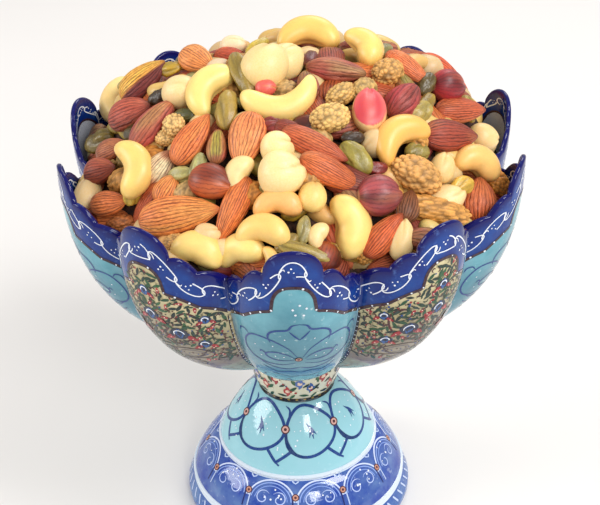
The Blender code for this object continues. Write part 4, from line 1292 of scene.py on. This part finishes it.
def settle(nuts):
    """Push crowded nuts apart along the sight line, so that each keeps its place in the picture."""
    middles = np.array([nut["middle"] for nut in nuts])
    alongs = np.array([nut["along"] for nut in nuts])
    longs = np.array([nut["size"][0] for nut in nuts])
    girths = np.array([(nut["size"][1] + nut["size"][2]) / 4 for nut in nuts])
    levels = np.array([nut["level"] for nut in nuts], float)
    ways = np.array(VIEW_EYE) - middles
    ways /= np.linalg.norm(ways, axis=1)[:, None]
    shift = np.zeros(len(nuts))
    reach = np.maximum(longs / 2 - girths, 0.0)
    for _ in range(SETTLE_STEPS):
        here = middles + ways * shift[:, None]
        balls = here[:, None, :] + alongs[:, None, :] * (reach[:, None] * np.array(CHAIN))[:, :, None]
        flat = balls.reshape(-1, 3)
        gap = np.linalg.norm(flat[:, None, :] - flat[None, :, :], axis=2)
        gap = gap.reshape(len(nuts), 4, len(nuts), 4).min(axis=(1, 3))
        crowd = (girths[:, None] + girths[None, :]) * SETTLE_SHARE - gap
        np.fill_diagonal(crowd, 0.0)
        crowd = np.maximum(crowd, 0.0)
        higher = (shift[:, None] - shift[None, :]) / LEVEL_STEP
        above = np.sign(levels[:, None] - levels[None, :] + higher)
        shift += SETTLE_RATE * (crowd * above).sum(axis=1).clip(-SETTLE_MOST, SETTLE_MOST)
        shift = shift.clip(*SETTLE_RANGE)
    for nut, move, way in zip(nuts, shift, ways):
        nut["middle"] = nut["middle"] + Vector(way) * float(move)


def chain(nut):
    girth = (nut["size"][1] + nut["size"][2]) / 4
    reach = max(nut["size"][0] / 2 - girth, 0.0)
    return [nut["middle"] + nut["along"] * reach * place for place in CHAIN], girth


def anchor(nuts):
    """Slide any nut that hangs free away from the eye until it touches the heap."""
    for _ in range(ANCHOR_STEPS):
        chains = [chain(nut) for nut in nuts]
        held = {k for k, (points, girth) in enumerate(chains)
                if min(p.z - heap_height(p.x, p.y) for p in points) < girth * CORE_TOUCH}
        fresh = set(held)
        while fresh:
            reached = set()
            for k in set(range(len(nuts))) - held:
                points, girth = chains[k]
                for other in fresh:
                    others, wide = chains[other]
                    if min((a - b).length for a in points for b in others) < (girth + wide) * NUT_TOUCH:
                        reached.add(k)
                        break
            held |= reached
            fresh = reached
        free = [nut for k, nut in enumerate(nuts) if k not in held]
        if not free:
            return
        for nut in free:
            nut["middle"] = nut["middle"] - (VIEW_EYE - nut["middle"]).normalized() * ANCHOR_STEP


def ball(around, along):
    """Directions of a ball whose poles are on X, as rings from one end to the other."""
    turn = np.linspace(0.0, pi, along + 1)[1:-1]
    swing = np.arange(around) * tau / around
    z = np.cos(turn)[:, None] * np.ones(around)
    ring = np.sin(turn)[:, None]
    points = np.stack((z, ring * np.cos(swing), ring * np.sin(swing)), axis=-1).reshape(-1, 3)
    points = np.concatenate((points, [(1.0, 0, 0), (-1.0, 0, 0)]))
    return points, capped_faces(along - 1, around)


def bend(local, long):
    """Bend a straight cashew into its crook, open towards -Y."""
    crook, narrow, centre = CASHEW_FORM
    radius = long / 2 / sin(CASHEW_BEND / 2)
    turn = local[:, 0] / (long / 2) * CASHEW_BEND / 2
    reach = radius * crook + local[:, 1]
    x, y = reach * np.sin(turn) * narrow, reach * np.cos(turn) - radius * centre
    return np.stack((x, y, local[:, 2]), axis=1)


def plain_form(kind, unit):
    """The kind's smooth form on the unit ball, as its solid has it."""
    x, y, z = unit.T
    if kind == "almond":
        taper = 1 - 0.30 * x - 0.06 * x * x
        return np.stack((x, y * taper, z * taper), axis=1)
    if kind == "round":
        return np.stack((x, y * (1 - 0.08 * x), z * (1 - 0.08 * x)), axis=1)
    if kind == "pistachio":
        return np.stack((x, y * (1 - 0.15 * x), z), axis=1)
    if kind == "cashew":
        ring = np.hypot(y, z)
        full = np.sqrt(np.maximum(1 - np.abs(x) ** 3, 0))
        grow = np.where(ring > 1e-6, full / np.maximum(ring, 1e-6), 1.0) * (1 + 0.12 * x)
        return np.stack((x, y * grow, z * grow), axis=1)
    return unit.copy()


def place_nut(nut, shape):
    """Points of a unit form at the nut's real size and place."""
    long, wide, thick = nut["size"]
    local = shape * (long / 2, wide / 2, thick / 2)
    if nut["kind"] == "cashew":
        local = bend(local, long)
    side = nut["out"].cross(nut["along"])
    axes = np.array((nut["along"], side, nut["out"]))
    return np.array(nut["middle"]) + local @ axes


def wall_reach(points, inset):
    drop = PEAK_HEIGHT - points[:, 2]
    radius, _ = profile(share_at(drop, inset), inset)
    reach = plan_radius(petal_angle(points[:, 0], points[:, 1]), radius + inset, inset)
    return np.where(drop >= BOWL_DEPTH - inset, 0.0, reach)


def clear_of_wall(points):
    arc = arc_of_angle(petal_angle(points[:, 0], points[:, 1]))
    over = points[:, 2] > PEAK_HEIGHT - rim_drop(arc) + NUT_GAP
    within = np.hypot(points[:, 0], points[:, 1]) <= wall_reach(points, WALL + NUT_GAP)
    return bool(np.all(over | within))


def seat_nut(nut):
    """Sink a nut into the heap and move it clear of the wall; False where there is no room."""
    around, up = BALL[nut["kind"]]
    low, _ = ball(around, up)
    form = plain_form(nut["kind"], low)

    def sink():
        start = nut["middle"]
        away = (start - VIEW_EYE).normalized() * ANCHOR_STEP
        for way, steps in ((away, SINK_STEPS), (Vector((0, 0, -ANCHOR_STEP)), ANCHOR_STEPS)):
            nut["middle"] = start
            for _ in range(steps):
                points = place_nut(nut, form)
                if (points[:, 2] - heap_height(points[:, 0], points[:, 1])).min() < -DIP:
                    return
                nut["middle"] = nut["middle"] + way

    sink()
    for _ in range(WALL_STEPS):
        if clear_of_wall(place_nut(nut, form)):
            break
        inward = Vector((-nut["middle"].x, -nut["middle"].y, 0)).normalized() * WALL_STEP
        nut["middle"] = nut["middle"] + inward + Vector((0, 0, WALL_STEP / 2))
    sink()
    return clear_of_wall(place_nut(nut, form))


# The heap: how each nut looks

def ripple(points, draw, scale, waves=9):
    """Smooth seeded unevenness of about -1 to 1 over points."""
    total = np.zeros(len(points))
    for _ in range(waves):
        way = draw.normal(size=3)
        way *= scale * draw.uniform(0.6, 1.4) / np.linalg.norm(way)
        total += np.sin(points @ way + draw.uniform(0, tau))
    return total / sqrt(waves)


def furrow_phase(swing, along, draw, lines):
    """A phase whose sine gives furrows that run from end to end and meet at the points."""
    return tau * lines / 2 * np.cos(swing) + 1.5 * ripple(along, draw, 1.5) + draw.uniform(0, tau)


def blend(colour, code, share):
    return colour * (1 - share[:, None]) + linear(code)[None] * share[:, None]


def round_axis(unit, stretch, wide=1.0):
    """Each point's angle round X, and its place along and round X, for what runs lengthwise."""
    swing = np.arctan2(unit[:, 2], unit[:, 1])
    return swing, np.stack((unit[:, 0] * stretch, np.cos(swing) * wide, np.sin(swing) * wide), axis=1)


def dress_almond(unit, shape, draw, tint):
    """Long furrows that meet at the point, which the material darkens with painted shade."""
    x, y, _ = unit.T
    swing, along = round_axis(unit, 1.3)
    furrow = furrow_phase(swing, along * (1.2, 1.0, 1.0), draw, draw.uniform(9.0, 12.5))
    broad = ripple(along * (1.0, 1.9, 1.9), draw, 1.0)
    ring = np.sqrt(np.maximum(1 - x * x, 0.0))
    push = 1 + (0.020 * np.sin(furrow) + 0.026 * broad) * ring ** 0.6
    point = 1 - 0.22 * smooth_step(0.55, 1.0, x)
    shape[:, 1:] *= (push * point)[:, None]
    streaks = ripple(along * (1.6, 11.0, 11.0), draw, 1.5, 12)
    shade = 1.0 + 0.10 * streaks + 0.12 * broad + 0.08 * ripple(unit, draw, 2.0)
    shade *= 1 - 0.35 * smooth_step(0.78, 1.0, x) - 0.30 * smooth_step(-0.84, -1.0, x)
    colour = linear(tint)[None] * np.array((1.40, 1.34, 0.98)) * np.clip(shade, 0.4, 1.6)[:, None]
    # Golden patches lighter than the skin: painted highlights.
    painted_highlight = np.clip(ripple(along * 1.6, draw, 1.6) * 0.55, 0, 1)
    colour = blend(colour, "F2A45E", 0.38 * painted_highlight)
    if tint == HALF_SKINNED:
        colour = blend(colour, "7A2A26", smooth_step(0.05, 0.35, -y + 0.25 * broad))
    if tint == BLANCHED:
        colour = blend(colour, "C07A50", smooth_step(0.3, 0.7, np.abs(x) + 0.2 * broad))
    return shape, colour, furrow


def dress_cashew(unit, shape, draw, tint):
    """Smooth, a shallow seam on the inside of the crook, toasted in places."""
    x, y, z = unit.T
    uneven = ripple(unit * (1.6, 1.2, 1.2), draw, 1.6)
    seam = np.exp(-((z / 0.16) ** 2)) * smooth_step(0.1, -0.7, y) * (1 - np.abs(x) ** 4)
    shape[:, 1:] *= (1 + 0.045 * uneven - 0.10 * seam)[:, None]
    toast = smooth_step(0.2, 1.4, ripple(unit * (1.4, 1.0, 1.0), draw, 1.8))
    fine = 1 + 0.04 * ripple(unit * 5, draw, 2.2)
    colour = linear(tint)[None] * np.array((1.08, 0.98, 0.90)) * fine[:, None]
    colour = blend(colour, "EDB45C", 0.34 * toast)
    # Golden towards the inner and outer edges of the crook: painted shade.
    colour = blend(colour, "E8B868", 0.35 * smooth_step(0.2, 0.95, np.hypot(y, z) * np.abs(y)))
    colour *= (1 - 0.35 * seam)[:, None]
    return shape, blend(colour, "C98F3C", 0.45 * smooth_step(0.90, 1.0, np.abs(x))), x * 0


def dress_round(unit, shape, draw, tint):
    """A kernel: nearly a ball, with soft flats, a small point and faint furrows."""
    x, y, z = unit.T
    flats = ripple(unit, draw, 2.2)
    aside = (y + 0.25 * ripple(unit, draw, 1.2) - 0.15) / 0.08
    cleft = np.exp(-aside ** 2) * smooth_step(-0.5, 0.5, x)
    shape *= (1 + 0.055 * flats - 0.09 * cleft)[:, None]
    shape[:, 0] += 0.07 * smooth_step(0.86, 1.0, x)
    swing, along = round_axis(unit, 0.8)
    lines = ripple(along * (1.0, 3.0, 3.0), draw, 1.7)
    shade = 1 + 0.04 * lines + 0.06 * flats
    colour = linear(tint)[None] * np.array((0.98, 0.84, 0.66)) * shade[:, None]
    colour = blend(colour, "D9A860", 0.55 * cleft)
    colour = blend(colour, "B98A4C", 0.55 * smooth_step(0.90, 1.0, x))
    if tint in SKINNED:
        blotch = np.clip(ripple(along * (1.4, 2.4, 2.4), draw, 1.8) * 0.7 + 0.15, 0, 1)
        colour = blend(linear(tint)[None] * (1 + 0.40 * lines)[:, None], SKINNED[tint], 0.65 * blotch)
        colour = blend(np.clip(colour, 0.003, 1), "C9A078", 0.8 * smooth_step(0.93, 0.98, -x))
        return shape, colour, furrow_phase(swing, along, draw, 9)
    if tint == SPLIT:
        inner = smooth_step(0.26, 0.34, z + 0.10 * x)
        shape[:, 2] -= 0.22 * smooth_step(0.30, 0.75, z) * np.sign(z)
        colour = blend(np.tile(linear("F0C48A"), (len(x), 1)), "CC4450", inner)
        colour = blend(colour, "EE8A80", 0.5 * inner * np.clip(0.5 + 0.6 * lines, 0, 1))
    else:
        # Yellower on the side that faces into the heap: painted shade.
        colour = blend(colour, "E8C080", 0.22 * smooth_step(0.1, 0.9, -z))
    return shape, colour, x * 0 + pi / 2


def dress_pistachio(unit, shape, draw, tint):
    """A shrivelled skin over a long kernel, in patches of two colours."""
    swing, along = round_axis(unit, 1.2)
    folds = ripple(unit * (1.2, 3.2, 3.2), draw, 2.0)
    furrow = furrow_phase(swing, along * 1.3, draw, 6)
    shape[:, 1:] *= (1 + 0.06 * folds + 0.03 * np.sin(furrow))[:, None]
    patch = smooth_step(-0.3, 0.5, ripple(unit * (1.5, 1.5, 1.5), draw, 1.9))
    colour = blend(linear(tint)[None] * (1 + 0.18 * folds)[:, None], "B0303C", 0.6 * patch)
    edge = smooth_step(0.35, 0.75, np.abs(unit[:, 1]) + 0.15 * folds)
    return shape, np.clip(blend(colour, "C84A54", 0.5 * edge), 0.01, 1), furrow


def dress_dried_berry(unit, shape, draw, tint):
    """Covered with small drupelets, with painted shade between them."""
    index = np.arange(DRUPELETS) + 0.5
    height = 1 - 2 * index / DRUPELETS
    ring, turn = np.sqrt(1 - height * height), index * GOLDEN_TURN
    seeds = np.stack((height, ring * np.cos(turn), ring * np.sin(turn)), axis=1)
    seeds += draw.normal(size=seeds.shape) * 0.095
    gaps = np.sort(np.linalg.norm(unit[:, None, :] - seeds[None, :, :], axis=2), axis=1)
    size = sqrt(4 / DRUPELETS) * 1.28
    lump = np.sqrt(np.maximum(1 - (gaps[:, 0] / size) ** 2, 0.0))
    crack = smooth_step(0.0, 0.07, gaps[:, 1] - gaps[:, 0])
    uneven = ripple(unit, draw, 2.4)
    shape *= (0.88 + 0.14 * lump * (0.5 + 0.5 * crack) + 0.05 * uneven)[:, None]
    golden = linear(tint)[None] * np.array((1.25, 1.02, 0.78))
    # Darker between the drupelets: painted shade.
    colour = golden * (0.42 + 0.62 * lump ** 0.8 * (0.30 + 0.70 * crack))[:, None]
    return shape, colour * (1.12 + 0.14 * ripple(unit * 3, draw, 2.4))[:, None], uneven * 0


def dress_raisin(unit, shape, draw, tint):
    """Deep folds along its length, darker in them as painted shade, with painted highlights in patches."""
    x = unit[:, 0]
    _, along = round_axis(unit, 1.5, 2.6)
    folds = 1 - np.abs(ripple(along, draw, 1.7)) * 1.1
    small = 1 - np.abs(ripple(unit * 4.0, draw, 2.2)) * 0.9
    ring = np.sqrt(np.maximum(1 - x * x, 0.0))
    shape[:, 1:] *= (1 - (0.18 * folds + 0.07 * small) * ring ** 0.5)[:, None]
    # Darker in the folds: painted shade.
    shade = 1.45 - 0.60 * np.clip(folds, 0, 1) - 0.18 * np.clip(small, 0, 1)
    # Lighter patches, as if light shone through the skin: painted highlights.
    painted_highlight = 0.3 * np.clip(ripple(unit, draw, 1.5) * 0.5 + 0.3, 0, 1)
    return shape, linear(tint)[None] * (shade * (1 - painted_highlight) + 1.8 * painted_highlight)[:, None], x * 0


DRESS = {"almond": dress_almond, "cashew": dress_cashew, "round": dress_round,
         "pistachio": dress_pistachio, "dried_berry": dress_dried_berry, "raisin": dress_raisin}
# Rings round and along each kind's form where the picture shows it, and elsewhere
FINE = {"almond": (68, 34), "cashew": (32, 36), "round": (36, 26), "pistachio": (56, 34),
        "dried_berry": (72, 54), "raisin": (44, 34)}
COARSE = {"almond": (26, 16), "cashew": (18, 20), "round": (20, 14), "pistachio": (26, 18),
          "dried_berry": (38, 30), "raisin": (20, 16)}


def nut_finish(name, rough, bump, coat, soft, groove, grit):
    """Skin of a kind: groove is how much painted shade darkens its furrows, and grit how much its specks
    darken it.
    """
    made = Finish(name, Roughness=rough, Coat_Weight=coat, Coat_Roughness=0.25, Subsurface_Weight=soft,
                  Subsurface_Radius=(0.004, 0.002, 0.001), Subsurface_Scale=0.6)
    grain = made.attribute("grain", "Vector")
    fine = made.noise(1.7, 4.0, 0.62, grain)
    specks = made.between(fine, 0.38, 0.66, 0.0, grit)
    tone = made.mix(specks, made.attribute("colour", "Color"), "5A2410", "MULTIPLY")
    height = fine
    if groove:
        wobble = made.between(made.noise(0.8, 2.0, 0.5, grain), 0.3, 0.7, -1.1, 1.1)
        wave = made.math("SINE", made.math("ADD", made.attribute("furrow"), wobble))
        depth = made.between(made.noise(0.35, 2.0, 0.5, grain), 0.35, 0.6, 0.35, 1.0)
        line = made.math("MULTIPLY", made.between(wave, -0.35, -0.98), depth)
        # Darker along the furrows: painted shade.
        tone = made.mix(made.math("MULTIPLY", line, groove), tone, "8A3A1C", "MULTIPLY")
        # Paler ridges between the furrows: a painted highlight, speckled by the noise.
        ridge = made.math("MULTIPLY", made.between(wave, 0.1, 1.0), made.between(fine, 0.35, 0.6))
        tone = made.mix(made.math("MULTIPLY", ridge, 0.35), tone, "FBC48A", "SOFT_LIGHT")
        height = made.math("MULTIPLY_ADD", line, -1.3, fine)
    light = made.between(made.noise(4.2, 3.0, 0.6, grain), 0.56, 0.74, 0.0, grit * 0.7)
    made.colour(made.mix(light, tone, "FBE3B8", "SOFT_LIGHT"))
    made.bump(height, bump, 0.0005)
    return made.material


def build_nuts(nuts):
    """One piece for each kind of nut."""
    finishes = {
        "almond": nut_finish("almond skin", 0.48, 0.70, 0.10, 0.03, 0.66, 0.50),
        "cashew": nut_finish("cashew", 0.40, 0.06, 0.10, 0.15, 0.0, 0.05),
        "round": nut_finish("kernel", 0.44, 0.10, 0.08, 0.12, 0.5, 0.08),
        "pistachio": nut_finish("pistachio skin", 0.50, 0.6, 0.08, 0.03, 0.55, 0.45),
        "dried_berry": nut_finish("dried berry", 0.55, 0.30, 0.05, 0.05, 0.0, 0.25),
        "raisin": nut_finish("raisin skin", 0.32, 0.35, 0.25, 0.15, 0.0, 0.22),
    }
    pieces = []
    for kind, dress in DRESS.items():
        points, faces, colours, grains, furrows = [], [], [], [], []
        count = 0
        for index, nut in enumerate(nuts):
            if nut["kind"] != kind:
                continue
            unit, quads = ball(*(FINE if nut["seen"] else COARSE)[kind])
            draw = np.random.default_rng(1000 + index)
            shape, colour, furrow = dress(unit, plain_form(kind, unit), draw, nut["tint"])
            points.append(place_nut(nut, shape))
            # Fill pieces that lie deep and hidden are drawn darker: painted shade.
            colour = colour * (FILL_SHADE if nut["level"] == 0 and not nut["seen"] else 1.0)
            colours.append(np.clip(colour, 0.002, 1.0))
            spread = unit
            if kind in ("almond", "pistachio"):
                ring = np.maximum(np.hypot(unit[:, 1], unit[:, 2])[:, None], 0.25)
                spread = np.concatenate((unit[:, :1] * 0.35, unit[:, 1:] / ring * 1.3), axis=1)
            grains.append(spread * np.array(nut["size"]) * 500 + index * 7.0)
            furrows.append(furrow)
            faces += moved(quads, count)
            count += len(unit)
        piece = add_mesh(kind + "_pieces", np.concatenate(points), faces, finishes[kind],
                         colour=np.concatenate(colours), grain=np.concatenate(grains),
                         furrow=np.concatenate(furrows))
        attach(piece, "root")
        pieces.append(piece)
    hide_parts("trail_mix")
    return pieces


def build_core():
    """A dark mass under the pieces that show, which stands for the shade between them: painted shade."""
    made = Finish("painted_heap_shade", Roughness=0.8)
    painted_heap_shade = made.noise(700.0, 4.0, 0.6)
    # Nearly black brown: painted shade, seen through the gaps between the pieces.
    made.colour(made.mix(made.between(painted_heap_shade, 0.4, 0.65), "1C0D08", "4A2816"))
    made.bump(painted_heap_shade, 0.6, 0.001)
    around, rings = 160, 60
    turn = np.arange(around) * tau / around
    draw = np.random.default_rng(5)
    wall = plan_radius(petal_angle(np.sin(turn), -np.cos(turn)), PETAL_RADIUS) - CORE_GAP
    rows = []
    for t in np.linspace(0.02, 1.0, rings):
        x, y = t * wall * np.sin(turn), -t * wall * np.cos(turn)
        rows.append(np.stack((x, y, heap_height(x, y) - CORE_SINK), axis=1))
    edge = rows[-1]
    for drop, shrink in ((0.006, 0.985), (0.014, 0.95), (0.026, 0.86)):
        rows.append(edge * (shrink, shrink, 1) - (0, 0, drop))
    points = np.concatenate(rows)
    points[:, 2] += 0.0009 * ripple(points * 1000, draw, 0.9)
    ends = [(0, 0, float(heap_height(0, 0)) - CORE_SINK), (0, 0, edge[:, 2].min() - 0.030)]
    points = np.concatenate((points, ends))
    piece = add_mesh("heap_core", points, capped_faces(len(rows), around), made.material)
    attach(piece, "root")


def all_nuts():
    nuts = [lay(*entry, kind, tint) for kind, entries in SEEN.items()
            for entry, tint in zip(entries, TINTS[kind])]
    settle(nuts)
    anchor(nuts)
    others = scatter(nuts)
    others += fill(nuts + others)
    return [nut for nut in nuts + others if seat_nut(nut)]


# Studio

def area_light(name, place, size, power):
    data = bpy.data.lights.new(name, "AREA")
    data.shape = "RECTANGLE"
    data.size, data.size_y = size
    data.energy = power
    lamp = bpy.data.objects.new(name, data)
    lamp.location = place
    lamp.rotation_euler = (Vector(LIGHT_AIM) - Vector(place)).to_track_quat("-Z", "Y").to_euler()
    bpy.context.scene.collection.objects.link(lamp)


def build_camera():
    camera_data = bpy.data.cameras.new("camera")
    camera_data.sensor_width = SENSOR
    camera_data.lens = VIEW_SCALE / FRAME[0] * SENSOR
    camera_data.clip_start = 0.01
    camera = bpy.data.objects.new("camera", camera_data)
    right = VIEW_RIGHT * cos(VIEW_ROLL) + VIEW_UP * sin(VIEW_ROLL)
    up = VIEW_UP * cos(VIEW_ROLL) - VIEW_RIGHT * sin(VIEW_ROLL)
    turn = Matrix((right, up, VIEW_BACK)).transposed()
    camera.matrix_world = Matrix.Translation(VIEW_EYE) @ turn.to_4x4()
    bpy.context.scene.collection.objects.link(camera)
    bpy.context.scene.camera = camera


def build_floor():
    made = Finish("floor", Roughness=0.85)
    made.colour(made.mix(made.between(made.noise(3.0), 0.3, 0.7), "E9E6E3", "ECE9E6"))
    corners = [(x * FLOOR_REACH, y * FLOOR_REACH, 0) for x, y in ((-1, -1), (1, -1), (1, 1), (-1, 1))]
    floor = add_mesh("floor", corners, [(0, 1, 2, 3)], made.material, smooth=False)


def build_lights():
    world = bpy.data.worlds.new("studio")
    world.use_nodes = True
    background = world.node_tree.nodes["Background"]
    background.inputs["Color"].default_value = WORLD_COLOUR
    background.inputs["Strength"].default_value = WORLD_STRENGTH
    bpy.context.scene.world = world
    bpy.context.scene.view_settings.view_transform = "Standard"
    for name, (place, size, power) in LIGHTS.items():
        area_light(name, place, size, power)


def main():
    build_camera()
    build_floor()
    build_lights()
    build_bowl_shell()
    build_pedestal_shell()
    strokes = paint_finish()
    band = Paint("band_painting")
    paint_band(band)
    paint_inside(band)
    band.piece(strokes, "blue_enamel")
    panels = Paint("petal_painting")
    for petal, drift in enumerate(DRIFTS):
        (paint_cream if petal % 2 else paint_turquoise)(panels, petal, drift)
    paint_creases(panels)
    panels.piece(strokes, "blue_enamel")
    foot = Paint("foot_painting")
    paint_foot(foot)
    foot.piece(strokes, "turquoise_enamel")
    build_core()
    build_nuts(all_nuts())


main()
